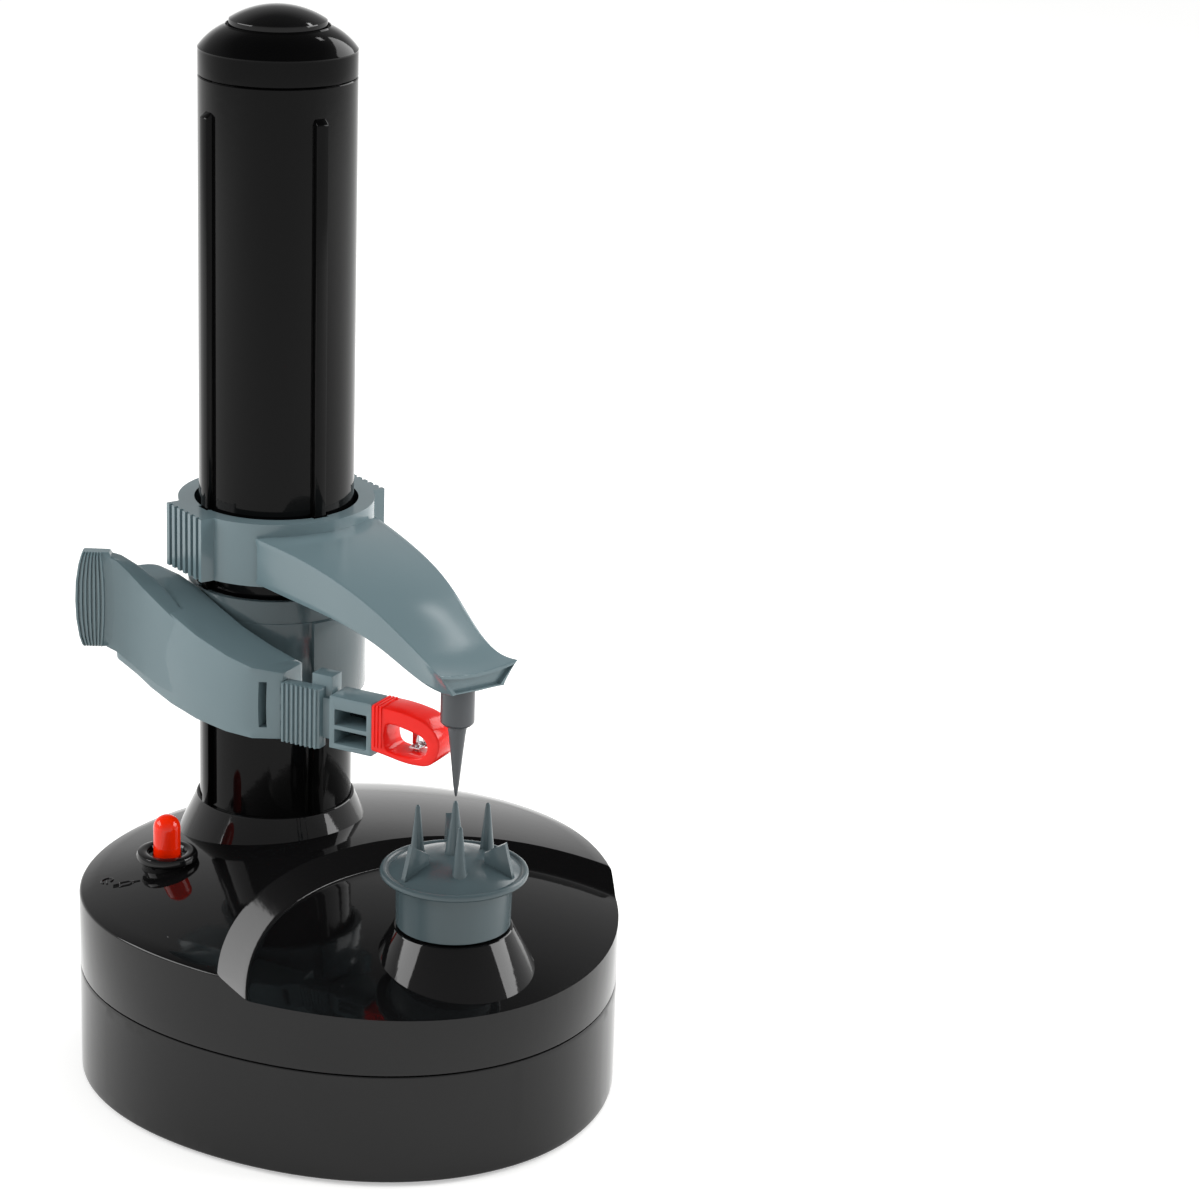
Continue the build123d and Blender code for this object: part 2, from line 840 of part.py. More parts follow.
with BuildPart() as screw_gear:
    extrude(moved(gear_face(train_z, screw_teeth, module, screw_phase), column_place), amount=train_face)
    with BuildSketch(Plane.XY.offset(floor_z + bush_length + hub_gap)):
        with Locations(column_place):
            Circle(shaft_radius + seat_wall)
    extrude(amount=train_z + train_face + hub_rise - floor_z - bush_length - hub_gap)
    with BuildSketch(Plane.XY):
        with Locations(column_place):
            Circle(shaft_radius + running_gap)
    extrude(amount=plate_z, mode=Mode.SUBTRACT)
screw_gear.part.label = "screw_gear"
export_step(screw_gear.part, "parts/screw_gear.step")

with BuildPart() as reduction_gear:
    extrude(
        moved(gear_face(second_z, reduction_small_teeth, module, reduction_phase), reduction_place),
        amount=third_z - second_z,
    )
    extrude(
        moved(gear_face(third_z, reduction_large_teeth, fine_module, 0), reduction_place),
        amount=third_face,
    )
    with BuildSketch(Plane.XY.offset(third_z)):
        with Locations(reduction_place):
            Circle(axle_radius + seat_wall)
    extrude(amount=plate_z - third_z - hub_gap)
    with BuildSketch(Plane.XY):
        with Locations(reduction_place):
            Circle(axle_radius + running_gap)
    extrude(amount=plate_z, mode=Mode.SUBTRACT)
reduction_gear.part.label = "reduction_gear"
export_step(reduction_gear.part, "parts/reduction_gear.step")

with BuildPart() as motor_pinion:
    extrude(
        moved(gear_face(third_z, pinion_teeth, fine_module, pinion_phase), motor_place),
        amount=third_face,
    )
    with BuildSketch(Plane.XY):
        with Locations(motor_place):
            Circle(motor_shaft_radius + running_gap)
    extrude(amount=plate_z, mode=Mode.SUBTRACT)
motor_pinion.part.label = "motor_pinion"
export_step(motor_pinion.part, "parts/motor_pinion.step")

with BuildPart() as gear_axles:
    with BuildSketch(Plane.XY.offset(floor_z)):
        with Locations(middle_place, reduction_place):
            Circle(axle_radius)
    extrude(amount=plate_top_z - floor_z)
    with BuildSketch(Plane.XY.offset(floor_z)):
        with Locations(idler_place):
            Circle(axle_radius)
    extrude(amount=train_z + train_face + hub_rise - floor_z)
gear_axles.part.label = "gear_axles"
export_step(gear_axles.part, "parts/gear_axles.step")

# ---------------------------------------------------------------- motor
with BuildPart() as motor_can:
    with BuildSketch(Plane.XY.offset(plate_top_z)):
        with Locations(motor_place):
            Circle(motor_radius)
    extrude(amount=motor_length)
    fillet(motor_can.edges().group_by(Axis.Z)[-1], radius=motor_edge)
    with BuildSketch(Plane.XY.offset(plate_top_z - motor_boss_height)):
        with Locations(motor_place):
            Circle(motor_boss_radius)
    extrude(amount=motor_boss_height)
    with BuildSketch(Plane.XY.offset(plate_top_z + motor_length)):
        with Locations(motor_place):
            Circle(motor_boss_radius)
    extrude(amount=motor_boss_height / 2)
    with BuildSketch(Plane.XY.offset(plate_z)):
        with Locations(motor_place):
            Circle(motor_shaft_radius + running_gap)
    extrude(amount=plate_thickness + motor_shaft_hold + running_gap, mode=Mode.SUBTRACT)
    with BuildSketch(Plane.XY.offset(plate_z)):
        with Locations(*motor_screw_places):
            Circle(screw_shank + screw_gap)
    extrude(amount=plate_thickness + motor_screw_hold + running_gap, mode=Mode.SUBTRACT)
motor_can.part.label = "motor_can"
export_step(motor_can.part, "parts/motor_can.step")

with BuildPart() as motor_shaft:
    with BuildSketch(Plane.XY.offset(third_z)):
        with Locations(motor_place):
            Circle(motor_shaft_radius)
    extrude(amount=plate_top_z + motor_shaft_hold - third_z)
motor_shaft.part.label = "motor_shaft"
export_step(motor_shaft.part, "parts/motor_shaft.step")

# ---------------------------------------------------------------- bushes of the spindle and the lead screw
cap_hub_z = column_top_z - cap_hub_depth
bush_places = (
    (mast_x, spindle_y, floor_z),
    (mast_x, spindle_y, hub_cone_top_z - bush_length),
    (mast_x, column_y, floor_z),
    (mast_x, column_y, cap_hub_z),
)
with BuildPart() as shaft_bushes:
    with Locations(*bush_places):
        Cylinder(bush_radius, bush_length, align=(Align.CENTER, Align.CENTER, Align.MIN))
        Cylinder(
            shaft_radius + running_gap,
            bush_length,
            align=(Align.CENTER, Align.CENTER, Align.MIN),
            mode=Mode.SUBTRACT,
        )
shaft_bushes.part.label = "shaft_bushes"
export_step(shaft_bushes.part, "parts/shaft_bushes.step")

# ---------------------------------------------------------------- food spindle and its pronged holder
spindle_low_z = floor_z + hub_gap
spindle_high_z = disc_z
with BuildPart() as food_spindle:
    with Locations((mast_x, spindle_y, spindle_low_z)):
        Cylinder(shaft_radius, spindle_high_z - spindle_low_z, align=(Align.CENTER, Align.CENTER, Align.MIN))
food_spindle.part.label = "food_spindle"
export_step(food_spindle.part, "parts/food_spindle.step")

cup_low_z = hub_cone_top_z + cup_gap
spindle_plane = Plane(origin=(mast_x, spindle_y, 0), x_dir=(1, 0, 0), z_dir=(0, -1, 0))
crown_radius = disc_radius - disc_lip - disc_edge
crown_low_z = disc_top_z - disc_lip_drop
with BuildPart() as food_holder:
    with BuildSketch(spindle_plane):
        with BuildLine():
            Polyline(
                (0, cup_low_z),
                (cup_foot_radius, cup_low_z),
                (cup_radius, disc_z - disc_edge),
                (disc_radius - disc_edge, disc_z),
                (disc_radius, disc_z + disc_edge),
                (disc_radius, disc_top_z - disc_edge),
                (disc_radius - disc_edge, disc_top_z),
                (disc_radius - disc_lip, disc_top_z),
                (crown_radius, crown_low_z),
            )
            Spline(
                (crown_radius, crown_low_z),
                crown_point(crown_radius, crown_low_z, disc_crown_z),
                (center_prong_radius / 2, disc_crown_z),
                tangents=((-crown_radius, 2 * (disc_crown_z - crown_low_z)), (-1, 0)),
            )
            Polyline((center_prong_radius / 2, disc_crown_z), (0, disc_crown_z), (0, cup_low_z))
        make_face()
    revolve(axis=Axis((mast_x, spindle_y, 0), (0, 0, 1)))
    with Locations((mast_x, spindle_y, cup_low_z)):
        Cylinder(
            cup_foot_radius - cup_wall,
            disc_z - cup_low_z,
            align=(Align.CENTER, Align.CENTER, Align.MIN),
            mode=Mode.SUBTRACT,
        )
        Cylinder(hub_radius, disc_z - cup_low_z, align=(Align.CENTER, Align.CENTER, Align.MIN))
        Cylinder(
            shaft_radius + running_gap,
            spindle_high_z - cup_low_z,
            align=(Align.CENTER, Align.CENTER, Align.MIN),
            mode=Mode.SUBTRACT,
        )
    with Locations((mast_x, spindle_y, disc_z)):
        Cone(
            center_prong_radius,
            prong_tip_radius,
            center_prong_top_z - disc_z,
            align=(Align.CENTER, Align.CENTER, Align.MIN),
        )
        with PolarLocations(prong_ring, prong_count, start_angle=prong_turn):
            Cone(
                prong_radius,
                prong_tip_radius,
                outer_prong_top_z - disc_z,
                align=(Align.CENTER, Align.CENTER, Align.MIN),
            )
    for fin in range(prong_count):
        heading = math.radians(prong_turn + fin_turn + fin * 360 / prong_count)
        along = (math.cos(heading), math.sin(heading), 0)
        fin_plane = Plane(origin=(mast_x, spindle_y, 0), x_dir=along, z_dir=(along[1], -along[0], 0))
        with BuildSketch(fin_plane):
            with BuildLine():
                Polyline(
                    (fin_inner, crown_low_z),
                    (fin_outer, crown_low_z),
                    (fin_peak, fin_peak_z),
                    (fin_inner, fin_inner_z),
                    close=True,
                )
            make_face()
        extrude(amount=fin_thickness / 2, both=True)
food_holder.part.label = "food_holder"
export_step(food_holder.part, "parts/food_holder.step")

# ---------------------------------------------------------------- column tube
def radial_plane(turn):
    """An upright plane through the column's axis; turn 0 points to the food side."""
    heading = math.radians(turn - 90)
    along = (math.cos(heading), math.sin(heading), 0)
    return Plane(origin=(mast_x, column_y, 0), x_dir=along, z_dir=(along[1], -along[0], 0))


with BuildPart() as column_tube:
    with Locations((mast_x, column_y, plate_top_z)):
        Cylinder(column_radius, column_top_z - plate_top_z, align=(Align.CENTER, Align.CENTER, Align.MIN))
        Cylinder(column_flange_radius, column_flange_height, align=(Align.CENTER, Align.CENTER, Align.MIN))
    for turn in rib_turns:
        with BuildSketch(radial_plane(turn)):
            with BuildLine():
                Polyline(
                    (column_bore + column_wall / 2, column_foot_z + rib_foot_gap),
                    (column_radius + rib_proud, column_foot_z + rib_foot_gap),
                    (column_radius + rib_proud, column_top_z - rib_top_gap - rib_proud),
                    (column_bore + column_wall / 2, column_top_z - rib_top_gap + column_wall / 2),
                    close=True,
                )
            make_face()
        extrude(amount=rib_width / 2, both=True)
    with Locations((mast_x, column_y, plate_top_z)):
        Cylinder(
            column_bore,
            column_top_z - plate_top_z,
            align=(Align.CENTER, Align.CENTER, Align.MIN),
            mode=Mode.SUBTRACT,
        )
    with Locations((mast_x, column_y + column_radius, (slot_low_z + slot_high_z) / 2)):
        Box(slot_width, 4 * column_wall, slot_high_z - slot_low_z, mode=Mode.SUBTRACT)
    with BuildSketch(Plane.XY.offset(plate_top_z)):
        with Locations(*column_screw_places):
            Circle(screw_shank + screw_gap)
    extrude(amount=column_flange_height, mode=Mode.SUBTRACT)
column_tube.part.label = "column_tube"
export_step(column_tube.part, "parts/column_tube.step")

# ---------------------------------------------------------------- column cap and its crown
cap_edge_z = column_top_z + cap_edge_height
cap_rim_z = cap_edge_z + cap_shoulder_height
cap_rim_radius = cap_crown_radius + cap_groove
crown_z = cap_rim_z - cap_groove_depth
mast_plane = Plane(origin=(mast_x, column_y, 0), x_dir=(1, 0, 0), z_dir=(0, -1, 0))
with BuildPart() as column_cap:
    with BuildSketch(mast_plane):
        with BuildLine():
            Polyline(
                (cap_rim_radius, cap_rim_z),
                (cap_rim_radius, crown_z),
                (0, crown_z),
                (0, cap_hub_z + bush_length),
                (bush_radius + running_gap, cap_hub_z + bush_length),
                (bush_radius + running_gap, cap_hub_z),
                (cap_hub_radius, cap_hub_z),
                (cap_hub_radius, crown_z - column_wall),
                (cap_crown_radius, crown_z - column_wall),
                (column_bore - column_wall, column_top_z),
                (column_bore - column_wall, column_top_z - cap_spigot_depth),
                (column_bore - running_gap, column_top_z - cap_spigot_depth),
                (column_bore - running_gap, column_top_z),
                (column_radius, column_top_z),
                (column_radius, cap_edge_z),
            )
            ThreePointArc(
                (column_radius, cap_edge_z),
                (
                    (column_radius + cap_rim_radius) / 2 + cap_bulge,
                    (cap_edge_z + cap_rim_z) / 2 + cap_bulge,
                ),
                (cap_rim_radius, cap_rim_z),
            )
        make_face()
    revolve(axis=Axis((mast_x, column_y, 0), (0, 0, 1)))
    with Locations((mast_x, column_y, cap_hub_z)):
        Cylinder(
            shaft_radius + column_seat_gap,
            screw_top_z - cap_hub_z + hub_rise,
            align=(Align.CENTER, Align.CENTER, Align.MIN),
            mode=Mode.SUBTRACT,
        )
column_cap.part.label = "column_cap"
export_step(column_cap.part, "parts/column_cap.step")

cap_crown_low_z = crown_z + cap_crown_wall
cap_crown_top_z = cap_crown_low_z + cap_crown_rise
with BuildPart() as cap_crown:
    with BuildSketch(mast_plane):
        with BuildLine():
            Polyline(
                (0, cap_crown_top_z),
                (0, crown_z),
                (cap_crown_radius, crown_z),
                (cap_crown_radius, cap_crown_low_z),
            )
            ThreePointArc(
                (cap_crown_radius, cap_crown_low_z),
                crown_point(cap_crown_radius, cap_crown_low_z, cap_crown_top_z),
                (0, cap_crown_top_z),
            )
        make_face()
    revolve(axis=Axis((mast_x, column_y, 0), (0, 0, 1)))
cap_crown.part.label = "cap_crown"
export_step(cap_crown.part, "parts/cap_crown.step")

# ---------------------------------------------------------------- lead screw and its nut
with BuildPart() as lead_screw:
    with Locations((mast_x, column_y, spindle_low_z)):
        Cylinder(shaft_radius, screw_top_z - spindle_low_z, align=(Align.CENTER, Align.CENTER, Align.MIN))
    with Locations((mast_x, column_y, screw_collar_z)):
        Cylinder(
            screw_radius,
            cap_hub_z - hub_gap - screw_collar_z,
            align=(Align.CENTER, Align.CENTER, Align.MIN),
        )
lead_screw.part.label = "lead_screw"
export_step(lead_screw.part, "parts/lead_screw.step")

tongue_plane = Plane(
    origin=(mast_x, column_y + sleeve_radius, nut_z + nut_height / 2),
    z_dir=(0, 1, 0),
)
with BuildPart() as drive_nut:
    with Locations((mast_x, column_y, nut_z)):
        Cylinder(nut_radius, nut_height, align=(Align.CENTER, Align.CENTER, Align.MIN))
        Box(
            2 * nut_radius,
            nut_radius,
            nut_height,
            align=(Align.CENTER, Align.MAX, Align.MIN),
            mode=Mode.SUBTRACT,
        )
        Box(
            nut_tongue_width,
            sleeve_radius,
            nut_height,
            align=(Align.CENTER, Align.MIN, Align.MIN),
        )
        Cylinder(
            screw_radius + nut_clearance,
            nut_height,
            align=(Align.CENTER, Align.CENTER, Align.MIN),
            mode=Mode.SUBTRACT,
        )
    with BuildSketch(tongue_plane):
        Circle(screw_shank + screw_gap)
    extrude(amount=-nut_screw_length - screw_gap, mode=Mode.SUBTRACT)
drive_nut.part.label = "drive_nut"
export_step(drive_nut.part, "parts/drive_nut.step")

nut_screw = screw_at(tongue_plane, nut_screw_length)
nut_screw.label = "nut_screw"
export_step(nut_screw, "parts/nut_screw.step")


# ---------------------------------------------------------------- what both slides share
def keyed_bore(height, length):
    """The bore of a slide: a round hole with a keyway for each rib of the column."""
    with BuildPart() as bore:
        with Locations((mast_x, column_y, height)):
            Cylinder(bore_radius, length, align=(Align.CENTER, Align.CENTER, Align.MIN))
        for turn in rib_turns:
            with BuildSketch(radial_plane(turn)):
                with BuildLine():
                    Polyline(
                        (0, height),
                        (key_radius, height),
                        (key_radius, height + length),
                        (0, height + length),
                        close=True,
                    )
                make_face()
            extrude(amount=rib_width / 2 + keyway_gap, both=True)
    return bore.part


# ---------------------------------------------------------------- upper arm: collar, grips and curved arm
def arm_section(distance, half_width, top, under, crown):
    """A section of the arm across its length: flat sides and underside, a crowned top."""
    plane = Plane(origin=(mast_x, column_y - distance, 0), x_dir=(1, 0, 0), z_dir=(0, -1, 0))
    with BuildSketch(plane) as section:
        with BuildLine():
            Polyline((half_width, top), (half_width, under), (-half_width, under), (-half_width, top))
            ThreePointArc((-half_width, top), (0, top + crown), (half_width, top))
        make_face()
    return section.sketch


arm_outside = [arm_section(*station, arm_crown) for station in arm_stations]
arm_inside = [
    arm_section(distance, half_width - arm_wall, top - arm_wall, under - arm_wall, arm_crown)
    for distance, half_width, top, under in arm_stations[1:5]
]
collar_bore = keyed_bore(collar_z, collar_height)
with BuildPart() as holder_arm:
    loft(arm_outside)
    loft(arm_inside, mode=Mode.SUBTRACT)
    with Locations((mast_x, column_y, collar_z)):
        Cylinder(collar_radius, collar_height, align=(Align.CENTER, Align.CENTER, Align.MIN))
    for side in (-1, 1):
        with BuildSketch(Plane.XY.offset(collar_z)):
            with Locations((mast_x + side * (grip_reach - grip_ridge_depth) / 2, column_y)):
                Rectangle(grip_reach - grip_ridge_depth, 2 * grip_half_width)
            for ridge in range(grip_ridges):
                step = 2 * grip_half_width / (2 * grip_ridges - 1)
                along = -grip_half_width + step * (2 * ridge + 0.5)
                with Locations((mast_x + side * grip_reach / 2, column_y + along)):
                    Rectangle(grip_reach, step)
        extrude(amount=collar_height)
    add(collar_bore, mode=Mode.SUBTRACT)
    with Locations((mast_x, spindle_y, bearing_high_z)):
        Cylinder(
            bearing_radius + running_gap,
            bearing_high_z - bearing_low_z,
            align=(Align.CENTER, Align.CENTER, Align.MAX),
            mode=Mode.SUBTRACT,
        )
holder_arm.part.label = "holder_arm"
export_step(holder_arm.part, "parts/holder_arm.step")

with BuildPart() as spike_bearing:
    with Locations((mast_x, spindle_y, bearing_low_z)):
        Cylinder(
            bearing_radius,
            bearing_high_z - bearing_low_z,
            align=(Align.CENTER, Align.CENTER, Align.MIN),
        )
    chamfer(spike_bearing.edges().group_by(Axis.Z)[0], length=bearing_edge)
    with Locations((mast_x, spindle_y, bearing_low_z)):
        Cylinder(
            spike_shaft_radius + running_gap,
            bearing_high_z - bearing_low_z,
            align=(Align.CENTER, Align.CENTER, Align.MIN),
            mode=Mode.SUBTRACT,
        )
    with Locations((mast_x, spindle_y, bearing_high_z)):
        Cylinder(
            spike_head_radius + spike_gap,
            spike_head_height + 2 * spike_gap,
            align=(Align.CENTER, Align.CENTER, Align.MAX),
            mode=Mode.SUBTRACT,
        )
spike_bearing.part.label = "spike_bearing"
export_step(spike_bearing.part, "parts/spike_bearing.step")

spike_base_z = bearing_low_z - spike_gap
with BuildPart() as spike:
    with Locations((mast_x, spindle_y, spike_tip_z)):
        Cone(
            spike_tip_radius,
            spike_base_radius,
            spike_base_z - spike_tip_z,
            align=(Align.CENTER, Align.CENTER, Align.MIN),
        )
    with Locations((mast_x, spindle_y, spike_base_z)):
        Cylinder(
            spike_shaft_radius,
            bearing_high_z - spike_gap - spike_base_z,
            align=(Align.CENTER, Align.CENTER, Align.MIN),
        )
    with Locations((mast_x, spindle_y, bearing_high_z - spike_gap)):
        Cylinder(spike_head_radius, spike_head_height, align=(Align.CENTER, Align.CENTER, Align.MAX))
spike.part.label = "spike"
export_step(spike.part, "parts/spike.step")

# ---------------------------------------------------------------- carriage sleeve with the hinge knuckle
hinge_place = (mast_x - hinge_out, column_y + hinge_back)
hinge_reach = math.dist(hinge_place, column_place)
knuckle_low_z = sleeve_z + knuckle_rise
knuckle_high_z = knuckle_low_z + knuckle_height
hinge_plane = Plane(
    origin=(*hinge_place, knuckle_low_z),
    x_dir=(hinge_out, -hinge_back, 0),
    z_dir=(0, 0, 1),
)
with BuildPart() as carriage_sleeve:
    with Locations((mast_x, column_y, sleeve_z)):
        Cylinder(sleeve_radius, sleeve_height, align=(Align.CENTER, Align.CENTER, Align.MIN))
        Cylinder(
            sleeve_lip_radius + keyway_gap,
            sleeve_height + sleeve_lip_height,
            align=(Align.CENTER, Align.CENTER, Align.MIN),
        )
    with BuildSketch(Plane.XY.offset(sleeve_z)):
        with Locations((mast_x, column_y - (sleeve_radius + sleeve_ridge) / 2)):
            Rectangle(sleeve_ridge_width, sleeve_radius + sleeve_ridge)
    extrude(amount=sleeve_height)
    with BuildSketch(hinge_plane):
        Circle(hinge_radius)
        with Locations(((hinge_reach - bore_radius) / 2, 0)):
            Rectangle(hinge_reach - bore_radius, hinge_radius)
    extrude(amount=knuckle_high_z - knuckle_low_z)
    with BuildSketch(hinge_plane):
        Circle(hinge_pin_radius + running_gap)
    extrude(amount=knuckle_high_z - knuckle_low_z, mode=Mode.SUBTRACT)
    add(keyed_bore(sleeve_z, sleeve_height + sleeve_lip_height), mode=Mode.SUBTRACT)
    with Locations((mast_x, column_y + sleeve_radius, nut_z - socket_clearance)):
        Box(
            nut_tongue_width + 2 * socket_clearance,
            2 * (sleeve_radius - column_radius),
            nut_height + 2 * socket_clearance,
            align=(Align.CENTER, Align.CENTER, Align.MIN),
            mode=Mode.SUBTRACT,
        )
carriage_sleeve.part.label = "carriage_sleeve"
export_step(carriage_sleeve.part, "parts/carriage_sleeve.step")

# ---------------------------------------------------------------- blade arm with its thumb handle
heading = math.radians(blade_heading)
arm_end = (hinge_place[0] + arm_end_inward, hinge_place[1] - arm_end_forward)
carrier_plane = Plane(
    origin=(*arm_end, sleeve_z),
    x_dir=(math.cos(heading), -math.sin(heading), 0),
    z_dir=(-math.sin(heading), -math.cos(heading), 0),
)


def slab(start, end, low, high, near, far, mode=Mode.ADD):
    """A block on the carrier plane, from near to far inwards of it."""
    with Locations(((start + end) / 2, (low + high) / 2, -(near + far) / 2)):
        Box(end - start, high - low, far - near, mode=mode)


outer_points = [
    (hinge_place[0] - out, hinge_place[1] - front) for front, out, inward in blade_arm_stations
]
inner_points = [
    (hinge_place[0] + inward, hinge_place[1] - front) for front, out, inward in blade_arm_stations
]
arm_end_inner = (
    arm_end[0] + arm_end_width * math.sin(heading),
    arm_end[1] + arm_end_width * math.cos(heading),
)
handle_angle = math.radians(handle_turn)
handle_plane = Plane(
    origin=(
        hinge_place[0] - handle_out,
        hinge_place[1] + handle_back,
        sleeve_z + handle_rise + handle_height / 2,
    ),
    x_dir=(math.cos(handle_angle), -math.sin(handle_angle), 0),
    z_dir=(-math.sin(handle_angle), -math.cos(handle_angle), 0),
)
pocket_low_z = knuckle_low_z - knuckle_gap
pocket_high_z = pocket_low_z + pocket_height
with BuildPart(carrier_plane) as socket:
    slab(
        -socket_depth - socket_clearance,
        socket_clearance,
        socket_rise - socket_clearance,
        socket_rise + socket_height + socket_clearance,
        socket_inset - socket_clearance,
        socket_inset + socket_width + socket_clearance,
    )
    slab(
        -latch_slot_back,
        latch_slot_width - latch_slot_back,
        latch_slot_rise,
        latch_slot_rise + latch_slot_height,
        -arm_end_width,
        -latch_slot_inset,
    )

with BuildPart() as blade_arm:
    with BuildSketch(Plane.XY.offset(sleeve_z)):
        with BuildLine():
            Spline(*outer_points, arm_end)
            Line(arm_end, arm_end_inner)
            Spline(arm_end_inner, *reversed(inner_points))
            Line(inner_points[0], outer_points[0])
        make_face()
    extrude(amount=2 * arm_back_top_rise)
    with BuildSketch(Plane.YZ.offset(hinge_place[0])):
        with BuildLine():
            Polyline(
                (hinge_place[1] - arm_profile_front, sleeve_z + arm_front_low_rise),
                (hinge_place[1] + arm_profile_back, sleeve_z + arm_back_low_rise),
                (hinge_place[1] + arm_profile_back, sleeve_z + arm_back_top_rise),
                (hinge_place[1], sleeve_z + arm_hinge_top_rise),
                (hinge_place[1] - arm_profile_front, sleeve_z + arm_front_top_rise),
                close=True,
            )
        make_face()
    extrude(amount=arm_profile_front, both=True, mode=Mode.INTERSECT)
    with BuildSketch(handle_plane):
        RectangleRounded(handle_width, handle_height, handle_width / 4)
        with Locations((handle_neck, handle_neck_rise + (handle_neck_height - handle_height) / 2)):
            Rectangle(handle_width, handle_neck_height)
    extrude(amount=handle_thickness / 2, both=True)
    with BuildSketch(handle_plane.offset(handle_thickness / 2)):
        with GridLocations(handle_width / (handle_ridges + 1), 0, handle_ridges, 1):
            Rectangle(handle_width / (handle_ridges + 1) / 2, handle_height - handle_width / 2)
    extrude(amount=handle_ridge_depth)
    with BuildSketch(Plane.XY.offset(pocket_low_z)):
        with Locations(hinge_place):
            Circle(pocket_radius)
    extrude(amount=pocket_height, mode=Mode.SUBTRACT)
    with BuildSketch(Plane.XY.offset(sleeve_z)):
        with Locations(hinge_place):
            Circle(hinge_pin_radius + running_gap)
    extrude(amount=pocket_high_z + pin_cover + running_gap - sleeve_z, mode=Mode.SUBTRACT)
    add(socket.part, mode=Mode.SUBTRACT)
blade_arm.part.label = "blade_arm"
export_step(blade_arm.part, "parts/blade_arm.step")

with BuildPart() as arm_pin:
    with Locations((*hinge_place, pocket_low_z - pin_cover)):
        Cylinder(
            hinge_pin_radius,
            pocket_height + 2 * pin_cover,
            align=(Align.CENTER, Align.CENTER, Align.MIN),
        )
arm_pin.part.label = "arm_pin"
export_step(arm_pin.part, "parts/arm_pin.step")

arm_spring = coil(
    hinge_place,
    knuckle_high_z + knuckle_gap,
    pocket_high_z - knuckle_high_z - 2 * knuckle_gap,
    arm_spring_turns,
    arm_spring_coil_radius,
    arm_spring_wire,
)
arm_spring.label = "arm_spring"
export_step(arm_spring, "parts/arm_spring.step")

# ---------------------------------------------------------------- blade carrier
carrier_top = carrier_rise + carrier_height
with BuildPart(carrier_plane) as blade_carrier:
    slab(
        -socket_depth,
        socket_clearance,
        socket_rise,
        socket_rise + socket_height,
        socket_inset,
        socket_inset + socket_width,
    )
    slab(
        socket_clearance,
        carrier_start,
        neck_rise,
        neck_rise + neck_height,
        socket_inset,
        socket_inset + socket_width,
    )
    slab(socket_clearance, tab_length, tab_rise, tab_rise + tab_height, 0, tab_thickness)
    for ridge in range(tab_ridges):
        ridge_pitch = (tab_length - socket_clearance) / tab_ridges
        ridge_start = socket_clearance + ridge * ridge_pitch
        slab(ridge_start, ridge_start + ridge_pitch / 2, tab_rise, tab_rise + tab_height, -tab_ridge_depth, 0)
    slab(
        stop_block_start,
        stop_block_start + stop_block_length,
        neck_rise + neck_height,
        neck_rise + neck_height + stop_block_height,
        tab_thickness,
        carrier_depth,
    )
    slab(
        stop_block_start,
        stop_block_start + stop_block_length,
        neck_rise,
        neck_rise + neck_height,
        tab_thickness,
        carrier_depth,
    )
    slab(carrier_start, carrier_end, carrier_rise, carrier_top, 0, carrier_depth)
    slab(
        carrier_start + window_wall,
        carrier_end - window_wall,
        carrier_rise + window_wall,
        carrier_rise + window_wall + window_height,
        0,
        carrier_depth,
        Mode.SUBTRACT,
    )
    slab(
        carrier_start + window_wall,
        carrier_end - window_wall,
        carrier_rise + window_wall + window_height + window_gap,
        carrier_rise + window_wall + window_height + window_gap + upper_window_height,
        0,
        carrier_depth,
        Mode.SUBTRACT,
    )
    slab(
        carrier_end,
        carrier_end + tongue_length,
        carrier_rise + (carrier_height - tongue_height) / 2,
        carrier_rise + (carrier_height + tongue_height) / 2,
        (carrier_depth - tongue_width) / 2,
        (carrier_depth + tongue_width) / 2,
    )
blade_carrier.part.label = "blade_carrier"
export_step(blade_carrier.part, "parts/blade_carrier.step")

# ---------------------------------------------------------------- red guard, blade and its pins
blade_top = blade_rise + blade_height
with BuildPart(carrier_plane) as blade_guard:
    with BuildSketch(carrier_plane.offset(guard_proud)):
        with BuildLine():
            Polyline(*guard_outline, close=True)
        make_face()
        with BuildLine():
            Polyline(*guard_mouth, close=True)
        make_face(mode=Mode.SUBTRACT)
    extrude(amount=-guard_depth)
    slab(
        carrier_end - seat_clearance,
        carrier_end + tongue_length + seat_clearance,
        carrier_rise + (carrier_height - tongue_height) / 2 - seat_clearance,
        carrier_rise + (carrier_height + tongue_height) / 2 + seat_clearance,
        (carrier_depth - tongue_width) / 2 - seat_clearance,
        (carrier_depth + tongue_width) / 2 + seat_clearance,
        Mode.SUBTRACT,
    )
    with Locations((blade_reach, (blade_rise + blade_top) / 2, -blade_ear_inward)):
        Cylinder(
            blade_pin_radius + running_gap,
            blade_height + 2 * blade_pin_hold,
            rotation=(90, 0, 0),
            mode=Mode.SUBTRACT,
        )
blade_guard.part.label = "blade_guard"
export_step(blade_guard.part, "parts/blade_guard.step")

